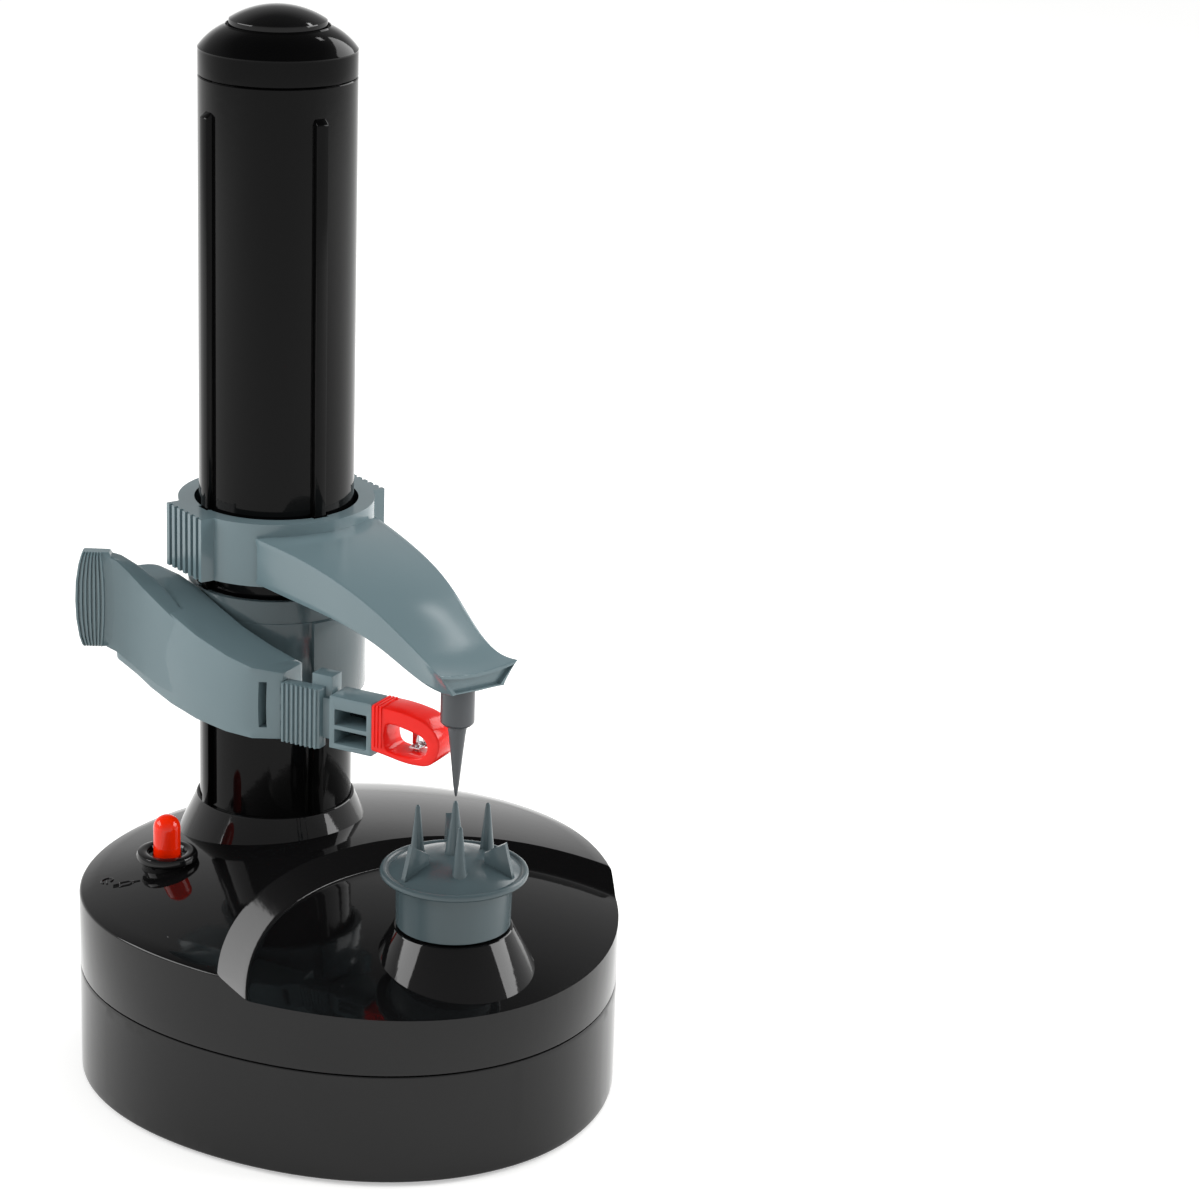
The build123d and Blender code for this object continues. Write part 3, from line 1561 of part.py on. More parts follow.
with BuildPart(carrier_plane) as blade:
    slab(
        blade_reach - blade_width / 2,
        blade_reach + blade_width / 2,
        blade_rise,
        blade_top,
        blade_inward - blade_thickness / 2,
        blade_inward + blade_thickness / 2,
    )
    for ear_low in (blade_rise, blade_top - blade_thickness):
        slab(
            blade_reach - blade_ear_width / 2,
            blade_reach + blade_ear_width / 2,
            ear_low,
            ear_low + blade_thickness,
            blade_ear_inward - blade_ear_width / 2,
            blade_inward,
        )
    slab(
        blade_reach - blade_slot_width / 2,
        blade_reach + blade_slot_width / 2,
        (blade_rise + blade_top - blade_slot_height) / 2,
        (blade_rise + blade_top + blade_slot_height) / 2,
        blade_inward - blade_thickness,
        blade_inward + blade_thickness,
        Mode.SUBTRACT,
    )
    with Locations((blade_reach, (blade_rise + blade_top) / 2, -blade_ear_inward)):
        Cylinder(
            blade_pin_radius + running_gap,
            blade_height,
            rotation=(90, 0, 0),
            mode=Mode.SUBTRACT,
        )
blade.part.label = "blade"
export_step(blade.part, "parts/blade.step")

with BuildPart(carrier_plane) as blade_pins:
    for pin_low in (blade_rise - blade_pin_hold, blade_top - blade_pin_inside):
        with Locations((blade_reach, pin_low + (blade_pin_hold + blade_pin_inside) / 2, -blade_ear_inward)):
            Cylinder(blade_pin_radius, blade_pin_hold + blade_pin_inside, rotation=(90, 0, 0))
blade_pins.part.label = "blade_pins"
export_step(blade_pins.part, "parts/blade_pins.step")

# ---------------------------------------------------------------- start button, bezel, spring and switch
with BuildPart() as button_bezel:
    with Locations((*button_place, bezel_low_z)):
        Cylinder(bezel_radius, bezel_top_z - bezel_low_z, align=(Align.CENTER, Align.CENTER, Align.MIN))
    with Locations((*button_place, bezel_top_z - bezel_flange_drop)):
        Cylinder(bezel_flange_radius, bezel_flange, align=(Align.CENTER, Align.CENTER, Align.MAX))
    with Locations((*button_place, bezel_top_z - bezel_recess)):
        Cylinder(bezel_bore, bezel_recess, align=(Align.CENTER, Align.CENTER, Align.MIN), mode=Mode.SUBTRACT)
    with Locations((*button_place, bezel_lip_low_z)):
        Cylinder(
            button_radius + button_gap,
            bezel_lip,
            align=(Align.CENTER, Align.CENTER, Align.MIN),
            mode=Mode.SUBTRACT,
        )
        Cylinder(
            bezel_bore,
            bezel_lip_low_z - bezel_low_z - bezel_floor,
            align=(Align.CENTER, Align.CENTER, Align.MAX),
            mode=Mode.SUBTRACT,
        )
    with Locations((*button_place, bezel_low_z)):
        Cylinder(
            button_stem_radius + button_gap,
            bezel_floor,
            align=(Align.CENTER, Align.CENTER, Align.MIN),
            mode=Mode.SUBTRACT,
        )
button_bezel.part.label = "button_bezel"
export_step(button_bezel.part, "parts/button_bezel.step")

with BuildPart() as start_button:
    with Locations((*button_place, button_low_z)):
        Cylinder(
            button_radius,
            bezel_top_z + button_top_rise - button_low_z,
            align=(Align.CENTER, Align.CENTER, Align.MIN),
        )
    fillet(start_button.edges().group_by(Axis.Z)[-1], radius=button_round)
    with Locations((*button_place, button_low_z)):
        Cylinder(button_flange_radius, button_flange, align=(Align.CENTER, Align.CENTER, Align.MIN))
        Cylinder(
            button_stem_radius,
            button_low_z - stem_low_z,
            align=(Align.CENTER, Align.CENTER, Align.MAX),
        )
start_button.part.label = "start_button"
export_step(start_button.part, "parts/start_button.step")

button_spring = coil(
    button_place,
    bezel_low_z + bezel_floor,
    spring_length,
    spring_turns,
    spring_coil_radius,
    spring_wire,
)
button_spring.label = "button_spring"
export_step(button_spring, "parts/button_spring.step")

with BuildPart() as start_switch:
    with Locations((*button_place, switch_low_z)):
        Box(switch_size, switch_size, switch_depth, align=(Align.CENTER, Align.CENTER, Align.MIN))
    with Locations((*button_place, switch_top_z)):
        Cylinder(
            switch_plunger_radius,
            switch_plunger_height,
            align=(Align.CENTER, Align.CENTER, Align.MIN),
        )
start_switch.part.label = "start_switch"
export_step(start_switch.part, "parts/start_switch.step")

# ---------------------------------------------------------------- power inlet
with BuildPart() as power_inlet:
    with BuildSketch(inlet_plane.offset(inlet_proud)):
        Circle(inlet_radius)
    extrude(amount=-inlet_length)
    with BuildSketch(inlet_plane.offset(-base_wall - inlet_flange_gap)):
        Circle(inlet_flange_radius)
    extrude(amount=-inlet_flange)
    with BuildSketch(inlet_plane.offset(inlet_proud)):
        Circle(inlet_bore)
        Circle(inlet_pin, mode=Mode.SUBTRACT)
    extrude(amount=-inlet_depth, mode=Mode.SUBTRACT)
power_inlet.part.label = "power_inlet"
export_step(power_inlet.part, "parts/power_inlet.step")
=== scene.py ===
import json
import math

import bmesh
import bpy
from mathutils import Matrix, Vector


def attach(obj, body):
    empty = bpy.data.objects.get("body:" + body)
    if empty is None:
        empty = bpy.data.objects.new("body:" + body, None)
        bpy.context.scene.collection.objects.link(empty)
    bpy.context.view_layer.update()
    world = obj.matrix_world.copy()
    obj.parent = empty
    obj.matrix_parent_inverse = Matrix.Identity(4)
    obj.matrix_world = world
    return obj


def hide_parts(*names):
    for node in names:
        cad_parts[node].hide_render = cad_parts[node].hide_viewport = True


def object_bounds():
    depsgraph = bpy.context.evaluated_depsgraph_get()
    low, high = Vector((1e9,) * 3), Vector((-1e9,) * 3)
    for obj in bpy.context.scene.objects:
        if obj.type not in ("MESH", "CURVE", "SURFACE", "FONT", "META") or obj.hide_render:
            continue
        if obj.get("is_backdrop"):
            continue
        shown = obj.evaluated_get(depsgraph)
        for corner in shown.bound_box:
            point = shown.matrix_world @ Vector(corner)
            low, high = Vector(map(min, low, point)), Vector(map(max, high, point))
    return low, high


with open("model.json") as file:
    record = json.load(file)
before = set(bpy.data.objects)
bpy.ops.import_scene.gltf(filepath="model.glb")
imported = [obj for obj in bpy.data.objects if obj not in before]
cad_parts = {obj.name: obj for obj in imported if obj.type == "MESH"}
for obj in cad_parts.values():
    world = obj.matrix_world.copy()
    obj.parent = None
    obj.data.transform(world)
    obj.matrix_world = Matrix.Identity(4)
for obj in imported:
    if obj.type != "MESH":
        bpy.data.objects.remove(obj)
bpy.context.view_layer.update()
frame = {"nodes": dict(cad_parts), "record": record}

# ---------------------------------------------------------------- camera
# It looks down on the food side from the front left, from about a metre away, and its long lens
# keeps the column nearly parallel.
camera_lens = 107.1
camera_place = (-0.4727, -0.7365, 0.4327)
camera_right = Vector((0.8084, -0.5877, 0.0326))
camera_up = Vector((0.1653, 0.2798, 0.9457))
camera_back = Vector((-0.5650, -0.7591, 0.3234))
camera_turn = Matrix((camera_right, camera_up, camera_back)).transposed().to_euler()
bpy.ops.object.select_all(action="DESELECT")
bpy.ops.object.camera_add(location=camera_place, rotation=camera_turn)
bpy.context.object.data.lens = camera_lens
bpy.context.scene.camera = bpy.context.object
bpy.context.scene.view_settings.view_transform = "Standard"


# ---------------------------------------------------------------- floor, room and lamps
# A pale floor that is lifted to white where only the camera and the gloss see it. Soft boxes stand
# to the left, to the right and behind, with a small one above, in a white room with a dark ceiling.
class Flow:
    """A socket of a node tree. Sums and products of flows and numbers add Math nodes."""

    def __init__(self, tree, socket=None):
        self.tree, self.socket = tree, socket

    def node(self, kind, values=None, out=0, stops=None, **settings):
        """Adds a node and gives one of its outputs. Values are numbers, colours or flows."""
        made = self.tree.nodes.new(kind)
        for key, value in settings.items():
            setattr(made, key, value)
        for number, (place, shade) in enumerate(stops or ()):
            ramp = made.color_ramp.elements
            stop = ramp[number] if number < 2 else ramp.new(place)
            stop.position, stop.color = place, (shade, shade, shade, 1)
        for key, value in (values or {}).items():
            if isinstance(value, Flow):
                self.tree.links.new(value.socket, made.inputs[key])
            else:
                made.inputs[key].default_value = value
        return Flow(self.tree, made.outputs[out])

    def math(self, operation, *values):
        return self.node("ShaderNodeMath", dict(enumerate(values)), operation=operation)

    def mix(self, factor, low, high):
        """A colour between two others."""
        return self.node("ShaderNodeMix", {0: factor, 6: low, 7: high}, out=2, data_type="RGBA")

    def __add__(self, other):
        return self.math("ADD", self, other)

    def __radd__(self, other):
        return self.math("ADD", other, self)

    def __sub__(self, other):
        return self.math("SUBTRACT", self, other)

    def __rsub__(self, other):
        return self.math("SUBTRACT", other, self)

    def __mul__(self, other):
        return self.math("MULTIPLY", self, other)

    def __rmul__(self, other):
        return self.math("MULTIPLY", other, self)


def blank_tree(owner):
    """A node tree with nothing in it but its output."""
    owner.use_nodes = True
    tree = owner.node_tree
    tree.nodes.clear()
    kind = "ShaderNodeOutputWorld" if isinstance(owner, bpy.types.World) else "ShaderNodeOutputMaterial"
    return tree, tree.nodes.new(kind)


def seen_directly(tree):
    """1 for what the camera, a gloss or a glass sees, and 0 for light."""
    rays = ("Is Camera Ray", "Is Glossy Ray", "Is Transmission Ray")
    camera_ray, gloss_ray, glass_ray = [Flow(tree).node("ShaderNodeLightPath", out=ray) for ray in rays]
    return Flow(tree).math("MINIMUM", camera_ray + gloss_ray + glass_ray, 1.0)


floor_colour = (0.84, 0.84, 0.83, 1)
floor_lift = 0.42
floor_size = 8
bpy.ops.mesh.primitive_plane_add(size=floor_size, location=(0, 0, 0))
floor = bpy.context.object
floor.name = "floor"
floor_paint = bpy.data.materials.new("pale_floor")
tree, output = blank_tree(floor_paint)
pale = Flow(tree).node("ShaderNodeBsdfDiffuse", {"Color": floor_colour})
lift_strength = seen_directly(tree) * floor_lift
lift = Flow(tree).node("ShaderNodeEmission", {"Color": (1, 1, 1, 1), "Strength": lift_strength})
both = Flow(tree).node("ShaderNodeAddShader", {0: pale, 1: lift})
tree.links.new(both.socket, output.inputs["Surface"])
floor.data.materials.append(floor_paint)
floor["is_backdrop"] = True

room_light = 0.62
room_shades = ((0.0, 1.0), (0.2, 0.80), (0.34, 0.47), (0.6, 0.31), (0.78, 0.10), (1.0, 0.04))
room = bpy.data.worlds.new("studio")
bpy.context.scene.world = room
tree, output = blank_tree(room)
heading = Flow(tree).node("ShaderNodeTexCoord", out="Generated")
height = heading.node("ShaderNodeSeparateXYZ", {"Vector": heading}, out="Z")
wall = heading.node("ShaderNodeValToRGB", {"Fac": height}, stops=room_shades)
seen = seen_directly(tree)
strength = seen * wall + (1 - seen) * room_light
glow = heading.node("ShaderNodeBackground", {"Color": (1, 1, 1, 1), "Strength": strength})
tree.links.new(glow.socket, output.inputs["Surface"])

boxes_face = Vector((0, 0, 0.1))


def soft_box(name, place, width, height, power):
    """A soft box that faces the lower part of the peeler."""
    facing = (Vector(place) - boxes_face).to_track_quat("Z", "Y").to_euler()
    bpy.ops.object.light_add(type="AREA", location=place, rotation=facing)
    lamp = bpy.context.object
    lamp.name = name
    lamp.data.shape = "RECTANGLE"
    lamp.data.size = width
    lamp.data.size_y = height
    lamp.data.energy = power


soft_box("left_box", (-1.01, 0.58, 0.68), 1.0, 0.48, 9.6)
soft_box("right_box", (1.01, -0.61, 0.65), 0.75, 0.60, 9.2)
soft_box("back_box", (1.07, 0.23, 0.81), 0.65, 0.50, 4.0)
soft_box("top_box", (0.66, 0.32, 1.05), 0.11, 0.07, 0.16)


# ---------------------------------------------------------------- moulded plastics
# The housing is glossy black ABS, the arms are glossy blue-grey ABS, the guard and the button red.
# Each has faint flow marks and a fine skin, and the black ones have the odd speck of dust.
speck_spacing = 130
speck_size = 0.022
speck_rarity = 0.86
speck_grey = (0.55, 0.55, 0.55, 1)


def new_paint(name):
    """A new material, its shader, and the place on the piece as a flow."""
    paint = bpy.data.materials.new(name)
    paint.use_nodes = True
    tree = paint.node_tree
    return paint, tree.nodes["Principled BSDF"], Flow(tree).node("ShaderNodeTexCoord", out="Object")


def feed(shader, tone, rough, relief):
    """Feeds a colour, a roughness and a relief to the shader."""
    for socket, flow in (("Base Color", tone), ("Roughness", rough), ("Normal", relief)):
        flow.tree.links.new(flow.socket, shader.inputs[socket])


def moulded(name, colour, roughness, gloss, cloud=0.12, dust=0.0):
    """A moulded plastic: its colour and gloss vary a little over the piece."""
    paint, shader, here = new_paint(name)
    marks = {"Vector": here, "Scale": 24, "Detail": 3, "Roughness": 0.55}
    flow_marks = here.node("ShaderNodeTexNoise", marks)
    skin = here.node("ShaderNodeTexNoise", {"Vector": here, "Scale": 420, "Detail": 2})
    low = [channel * (1 - cloud) for channel in colour] + [1]
    high = [min(1, channel * (1 + cloud)) for channel in colour] + [1]
    tone = here.mix(flow_marks, low, high)
    rough = roughness - 0.02 + flow_marks * 0.03 + skin * 0.02
    if dust:
        cells = {"Vector": here, "Scale": speck_spacing}
        from_middle = here.node("ShaderNodeTexVoronoi", cells, out="Distance")
        cell_colour = here.node("ShaderNodeTexVoronoi", cells, out="Color")
        lot = here.node("ShaderNodeSeparateColor", {"Color": cell_colour})
        drawn = here.math("GREATER_THAN", lot, speck_rarity)
        speck = here.math("LESS_THAN", from_middle, speck_size) * drawn * dust
        tone = here.mix(speck, tone, speck_grey)
        rough = rough + speck * 0.5
    relief = here.node("ShaderNodeBump", {"Strength": 0.05, "Distance": 0.0002, "Height": skin})
    feed(shader, tone, rough, relief)
    shader.inputs["Specular IOR Level"].default_value = gloss
    return paint


black_abs = moulded("black_abs", (0.0042, 0.0041, 0.0043), 0.055, 0.31, dust=0.7)
column_abs = moulded("column_abs", (0.0022, 0.0022, 0.0023), 0.065, 0.12, dust=0.5)
grey_abs = moulded("blue_grey_abs", (0.142, 0.206, 0.226), 0.17, 0.50, cloud=0.06)
# a darker copy of the arms' blue-grey for the sleeve: painted shade for the shadow under the collar
sleeve_painted_shade_abs = moulded("blue_grey_abs_with_painted_shade", (0.080, 0.112, 0.122), 0.14, 0.50, cloud=0.06)
# the food holder's own dark blue-grey, made darker still as painted shade for the cup under the disc
grip_abs = moulded("dark_blue_grey_abs_and_painted_shade", (0.066, 0.095, 0.105), 0.24, 0.40, cloud=0.06)
spike_abs = moulded("dark_grey_abs", (0.062, 0.068, 0.075), 0.28, 0.45, cloud=0.06)
red_abs = moulded("red_abs", (0.94, 0.016, 0.010), 0.14, 0.25, cloud=0.05)
button_red = moulded("orange_red_abs", (0.94, 0.022, 0.001), 0.10, 0.35, cloud=0.05)


# ---------------------------------------------------------------- base tray
# The lower half of the base: a deep tray of black ABS on four rubber feet, with its screw pillars
# and bearing seats inside. Its rim has a fine edge where the cover sits.
MM = 0.001


def only(piece):
    """Selects this piece alone."""
    bpy.ops.object.select_all(action="DESELECT")
    piece.select_set(True)
    bpy.context.view_layer.objects.active = piece


def pick(piece, kind, test):
    """Selects the vertices, edges or faces of the piece that pass a test."""
    bpy.ops.mesh.select_mode(type=kind)
    bpy.ops.mesh.select_all(action="DESELECT")
    mesh = bmesh.from_edit_mesh(piece.data)
    for item in {"VERT": mesh.verts, "EDGE": mesh.edges, "FACE": mesh.faces}[kind]:
        item.select_set(bool(test(item)))
    mesh.select_flush_mode()
    bmesh.update_edit_mesh(piece.data)


def modified(piece, kind, **settings):
    """Adds a modifier and applies it."""
    only(piece)
    modifier = piece.modifiers.new(kind.lower(), kind)
    for key, value in settings.items():
        setattr(modifier, key, value)
    bpy.ops.object.modifier_apply(modifier=modifier.name)


def merged(piece, reach):
    """Makes vertices that lie on one another one."""
    only(piece)
    bpy.ops.object.mode_set(mode="EDIT")
    bpy.ops.mesh.select_mode(type="VERT")
    bpy.ops.mesh.select_all(action="SELECT")
    bpy.ops.mesh.remove_doubles(threshold=reach * MM)
    bpy.ops.object.mode_set(mode="OBJECT")


def eased(piece, width, angle=32, segments=2):
    """Breaks the sharp edges of a piece and shades it."""
    merged(piece, 0.01)
    modified(
        piece,
        "BEVEL",
        width=width * MM,
        segments=segments,
        limit_method="ANGLE",
        angle_limit=math.radians(angle),
        harden_normals=False,
        miter_outer="MITER_ARC",
    )
    merged(piece, 0.004)
    shaded(piece)


def shaded(piece, angle=30):
    """Shades a piece smooth, apart from its sharp edges."""
    only(piece)
    bpy.ops.object.shade_smooth_by_angle(angle=math.radians(angle))


def worked_copy(node, name, flat=0.4):
    """A copy of a CAD node as one clean shell, ready for its edges. Flat faces are made one."""
    piece = bpy.data.objects.new(name, frame["nodes"][node].data.copy())
    bpy.context.collection.objects.link(piece)
    only(piece)
    bpy.ops.mesh.customdata_custom_splitnormals_clear()
    piece.data.materials.clear()
    bpy.ops.object.mode_set(mode="EDIT")
    bpy.ops.mesh.select_all(action="SELECT")
    bpy.ops.mesh.remove_doubles(threshold=0.002 * MM)
    bpy.ops.mesh.dissolve_limited(angle_limit=math.radians(flat))
    bpy.ops.object.mode_set(mode="OBJECT")
    return piece


seam_z = 30.6
rim_band = 0.6
rim_break = 0.45
outline_centre = 2.25
outline_radius = 71.9
corner_bulge = 2.25
length_bulge = 1.2


def outline_reach(x, y):
    """How far the base's rounded, faintly three-cornered outline reaches towards a point."""
    turn = math.atan2(x, outline_centre - y)
    return outline_radius + corner_bulge * math.cos(3 * turn) + length_bulge * math.cos(2 * turn)


def on_rim(vertex):
    """Whether a vertex lies on the outer edge of the tray's rim."""
    x, y = vertex.co.x / MM, vertex.co.y / MM
    reach = math.hypot(x, y - outline_centre)
    return vertex.co.z > (seam_z - 0.02) * MM and reach > outline_reach(x, y) - rim_band


base_tray = worked_copy("base_tray", "base_tray_shell", flat=0.02)
bpy.ops.object.mode_set(mode="EDIT")
pick(base_tray, "EDGE", lambda edge: all(map(on_rim, edge.verts)) and edge.calc_face_angle(0) > 1)
bpy.ops.mesh.bevel(offset=rim_break * MM, segments=2, affect="EDGES")
bpy.ops.object.mode_set(mode="OBJECT")
shaded(base_tray)
base_tray.data.materials.append(black_abs)
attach(base_tray, "base")
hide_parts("base_tray")

# ---------------------------------------------------------------- base cover
# The upper half of the base in glossy black ABS: a shallow dome with a lower round in front of the
# column, a cone that holds the column's foot and a cone that carries the turntable's spindle.
MAST = (-2.6, 40.4)
SPINDLE = (-2.6, -46.9)
BUTTON = (-41.7, 31.0)
dome_apex = 61.0
dome_radius = 281.0
dome_centre = (0, outline_centre * MM, (dome_apex - dome_radius) * MM)
cover_wall = 2.5
rim_z = 51.4
cover_edge_break = 0.7
dome_rings = 16


def dome_level(run):
    """The height of the upper dome at a distance from its middle."""
    return dome_apex - dome_radius + math.sqrt(dome_radius**2 - run**2)


def boolean(piece, tool, operation):
    """Adds, cuts or keeps with a tool, which is used up."""
    modified(piece, "BOOLEAN", object=tool, operation=operation, solver="EXACT")
    bpy.data.objects.remove(tool)


def turned(name, axis, profile, steps=96, closed=False):
    """A round piece, drawn ring by ring: each ring is extruded from the last one and scaled."""
    x, y = axis[0] * MM, axis[1] * MM
    radius, level = profile[0]
    bpy.ops.object.select_all(action="DESELECT")
    bpy.ops.mesh.primitive_circle_add(vertices=steps, radius=radius * MM, location=(x, y, level * MM))
    piece = bpy.context.object
    piece.name = name
    bpy.ops.object.mode_set(mode="EDIT")
    if not closed:
        bpy.ops.mesh.edge_face_add()
        bpy.ops.mesh.select_mode(type="EDGE")
    for next_radius, next_level in profile[1:]:
        bpy.ops.mesh.extrude_region_move(TRANSFORM_OT_translate={"value": (0, 0, (next_level - level) * MM)})
        scale = next_radius / radius
        bpy.ops.transform.resize(value=(scale, scale, 1), center_override=(x, y, next_level * MM))
        radius, level = next_radius, next_level
    if closed:
        bpy.ops.object.mode_set(mode="OBJECT")
        bpy.ops.object.transform_apply()
        bpy.ops.object.mode_set(mode="EDIT")
        pick(piece, "EDGE", lambda edge: len(edge.link_faces) < 2)
        bpy.ops.mesh.bridge_edge_loops()
    bpy.ops.mesh.select_all(action="SELECT")
    bpy.ops.mesh.normals_make_consistent(inside=False)
    bpy.ops.object.mode_set(mode="OBJECT")
    bpy.ops.object.transform_apply()
    return piece


def arc(centre, radius, start, end, count):
    """Points (radius, height) of an arc in a profile; angles in degrees from outwards to upwards."""
    turns = [math.radians(start + (end - start) * step / count) for step in range(count + 1)]
    return [(centre[0] + radius * math.cos(turn), centre[1] + radius * math.sin(turn)) for turn in turns]


outline_steps = 216
bpy.ops.object.select_all(action="DESELECT")
bpy.ops.mesh.primitive_circle_add(
    vertices=outline_steps, radius=outline_radius * MM, location=(0, outline_centre * MM, seam_z * MM)
)
base_cover = bpy.context.object
base_cover.name = "base_cover_shell"
bpy.ops.object.transform_apply()
for vertex in base_cover.data.vertices:
    turn = math.atan2(vertex.co.x, outline_centre * MM - vertex.co.y)
    reach = outline_reach(vertex.co.x / MM, vertex.co.y / MM)
    vertex.co.x = reach * math.sin(turn) * MM
    vertex.co.y = (outline_centre - reach * math.cos(turn)) * MM
bpy.ops.object.mode_set(mode="EDIT")
bpy.ops.mesh.select_all(action="SELECT")
bpy.ops.mesh.extrude_region_move(TRANSFORM_OT_translate={"value": (0, 0, (rim_z - seam_z) * MM)})
for ring in range(dome_rings, 1, -1):
    bpy.ops.mesh.extrude_region_move()
    share = (ring - 1) / ring
    bpy.ops.transform.resize(value=(share, share, 1), center_override=(0, outline_centre * MM, rim_z * MM))
bpy.ops.mesh.edge_face_add()
bpy.ops.mesh.poke()
bpy.ops.object.mode_set(mode="OBJECT")
for vertex in base_cover.data.vertices:
    if vertex.co.z > (rim_z - 1) * MM:
        run = math.hypot(vertex.co.x, vertex.co.y - outline_centre * MM) / MM
        vertex.co.z = dome_level(run) * MM
bpy.ops.object.mode_set(mode="EDIT")
pick(base_cover, "EDGE", lambda edge: len(edge.link_faces) < 2)
bpy.ops.mesh.edge_face_add()
pick(base_cover, "EDGE", lambda edge: edge.calc_face_angle(0) > 1)
bpy.ops.mesh.bevel(offset=cover_edge_break * MM, segments=3, affect="EDGES")
bpy.ops.mesh.select_all(action="SELECT")
bpy.ops.mesh.normals_make_consistent(inside=False)
bpy.ops.object.mode_set(mode="OBJECT")

# the lower round in front: a flared wall over a lower dome, with a soft foot and a broken edge
step_drop = 5.0
step_top = 74.0
step_foot = 66.3
step_axis = Vector((2.0, -69.25, 266.0))
low_dome = dome_radius - step_drop
foot_height = math.sqrt(low_dome**2 - step_foot**2)
top_height = math.sqrt(dome_radius**2 - step_top**2)
floor_rings = [(radius, math.sqrt(low_dome**2 - radius**2)) for radius in range(3, 64, 3)]
foot_offsets = ((-1.1, 0.27), (-0.4, 0.16), (0.3, 0.22), (1.0, 0.43))
top_offsets = ((-0.5, -0.22), (0.1, -0.03), (4.0, 1.2), (6, 14))
foot_fillet = [(step_foot + out, foot_height + up) for out, up in foot_offsets]
top_break = [(step_top + out, top_height + up) for out, up in top_offsets]
step_tool = turned("step_tool", (0, 0), floor_rings + foot_fillet + top_break, steps=288)
only(step_tool)
step_tool.rotation_mode = "QUATERNION"
step_tool.rotation_quaternion = step_axis.to_track_quat("Z", "Y")
step_tool.location = dome_centre
bpy.ops.object.transform_apply()
boolean(base_cover, step_tool, "DIFFERENCE")

column_cone = [(27.8, 52.0), (21.5, 65.55), (21.35, 65.95), (21.1, 66.1)]
hub_cone = [(23.5, 44.12), (15.5, 58.75), (15.3, 59.05), (15.0, 59.2)]
boolean(base_cover, turned("column_cone", MAST, column_cone, steps=144), "UNION")
boolean(base_cover, turned("hub_cone", SPINDLE, hub_cone, steps=144), "UNION")

# open underneath, given its wall, and cut through for the column, the spindle and the button
only(base_cover)
bpy.ops.object.mode_set(mode="EDIT")
pick(
    base_cover,
    "FACE",
    lambda face: face.normal.z < -0.9 and face.calc_center_median().z < (seam_z + 1) * MM,
)
bpy.ops.mesh.delete(type="FACE")
bpy.ops.object.mode_set(mode="OBJECT")
modified(base_cover, "SOLIDIFY", thickness=cover_wall * MM, offset=-1, use_even_offset=False)
column_hole, spindle_hole, button_hole = 20.65, 5.05, 6.65
for axis, radius in ((MAST, column_hole), (SPINDLE, spindle_hole), (BUTTON, button_hole)):
    boolean(base_cover, turned("hole", axis, [(radius, 35), (radius, 80)], steps=125), "DIFFERENCE")
merged(base_cover, 0.001)
shaded(base_cover, 25)
base_cover.data.materials.append(black_abs)
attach(base_cover, "base")
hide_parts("base_cover")

# ---------------------------------------------------------------- start symbols beside the button
# Two small raised line symbols that are moulded into the cover beside the button: a ring with a
# bar for the start, and a plug for the supply.
line_width = 0.5
line_height = 0.28
symbol_turn = math.radians(-30)
symbol_size = 1.9


def over_dome(x, y, lift):
    """A point at a height over the upper dome."""
    return (x * MM, y * MM, (dome_level(math.hypot(x, y - outline_centre)) + lift) * MM)


def raised_line(name, points, cyclic):
    """A thin raised line on the dome."""
    rail = bpy.data.curves.new(name, "CURVE")
    rail.dimensions = "3D"
    rail.bevel_depth = line_width / 2 * MM
    rail.bevel_resolution = 2
    rail.use_fill_caps = True
    path = rail.splines.new("POLY")
    path.points.add(len(points) - 1)
    for knot, (x, y) in zip(path.points, points):
        knot.co = (*over_dome(x, y, line_height - line_width / 2), 1)
    path.use_cyclic_u = cyclic
    piece = bpy.data.objects.new(name, rail)
    bpy.context.collection.objects.link(piece)
    only(piece)
    bpy.ops.object.convert(target="MESH")
    return bpy.context.object


def around(x, y, shape):
    """A symbol's points, turned and set down at a place."""
    c, s = math.cos(symbol_turn), math.sin(symbol_turn)
    return [(x + symbol_size * (c * u - s * v), y + symbol_size * (s * u + c * v)) for u, v in shape]


plug_body = [(-1.0, -0.6), (0.3, -0.6), (0.9, -0.15), (0.9, 0.15), (0.3, 0.6), (-1.0, 0.6)]
ring = [(0.8 * math.cos(math.radians(a)), 0.8 * math.sin(math.radians(a))) for a in range(-50, 231, 20)]
plug_pins = ([(-1.9, -0.3), (-1.0, -0.3)], [(-1.9, 0.3), (-1.0, 0.3)], [(0.9, 0), (1.8, 0)])
bar = [(0.0, -1.1), (0.0, 0.1)]
plug_place = (-54.9, 29.0)
start_place = (-57.2, 35.6)
parts = [raised_line("symbol_line", around(*plug_place, plug_body), True)]
parts += [raised_line("symbol_line", around(*plug_place, pin), False) for pin in plug_pins]
parts += [raised_line("symbol_line", around(*start_place, shape), False) for shape in (ring, bar)]
only(parts[0])
for part in parts:
    part.select_set(True)
bpy.ops.object.join()
start_symbols = bpy.context.object
start_symbols.name = "start_symbols"
merged(start_symbols, 0.002)
shaded(start_symbols, 50)
start_symbols.data.materials.append(black_abs)
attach(start_symbols, "base")

# ---------------------------------------------------------------- column
# One black tube with three raised ribs that guide the two slides, and a slot down its back for the
# nut's tongue. It stands in the cone of the cover.
column_radius = 20.5
column_bore = 18.0
column_low = 29.0
column_high = 262.3
column_edge = 0.25
flange_radius = 27
flange_height = 3
rib_foot = 66.4
rib_shoulder = 253.2
rib_top = 255.6
rib_reach = 22.1
rib_root = 19.2
rib_width = 3.4
rib_edge = 0.35
slot_half = 3
slot_low, slot_high = 90, 228.5
column = turned(
    "column",
    MAST,
    [
        (column_bore, column_low),
        (flange_radius, column_low),
        (flange_radius, column_low + flange_height),
        (column_radius, column_low + flange_height),
        (column_radius, column_high - column_edge),
        (column_radius - column_edge, column_high),
        (column_bore, column_high),
    ],
    steps=160,
    closed=True,
)


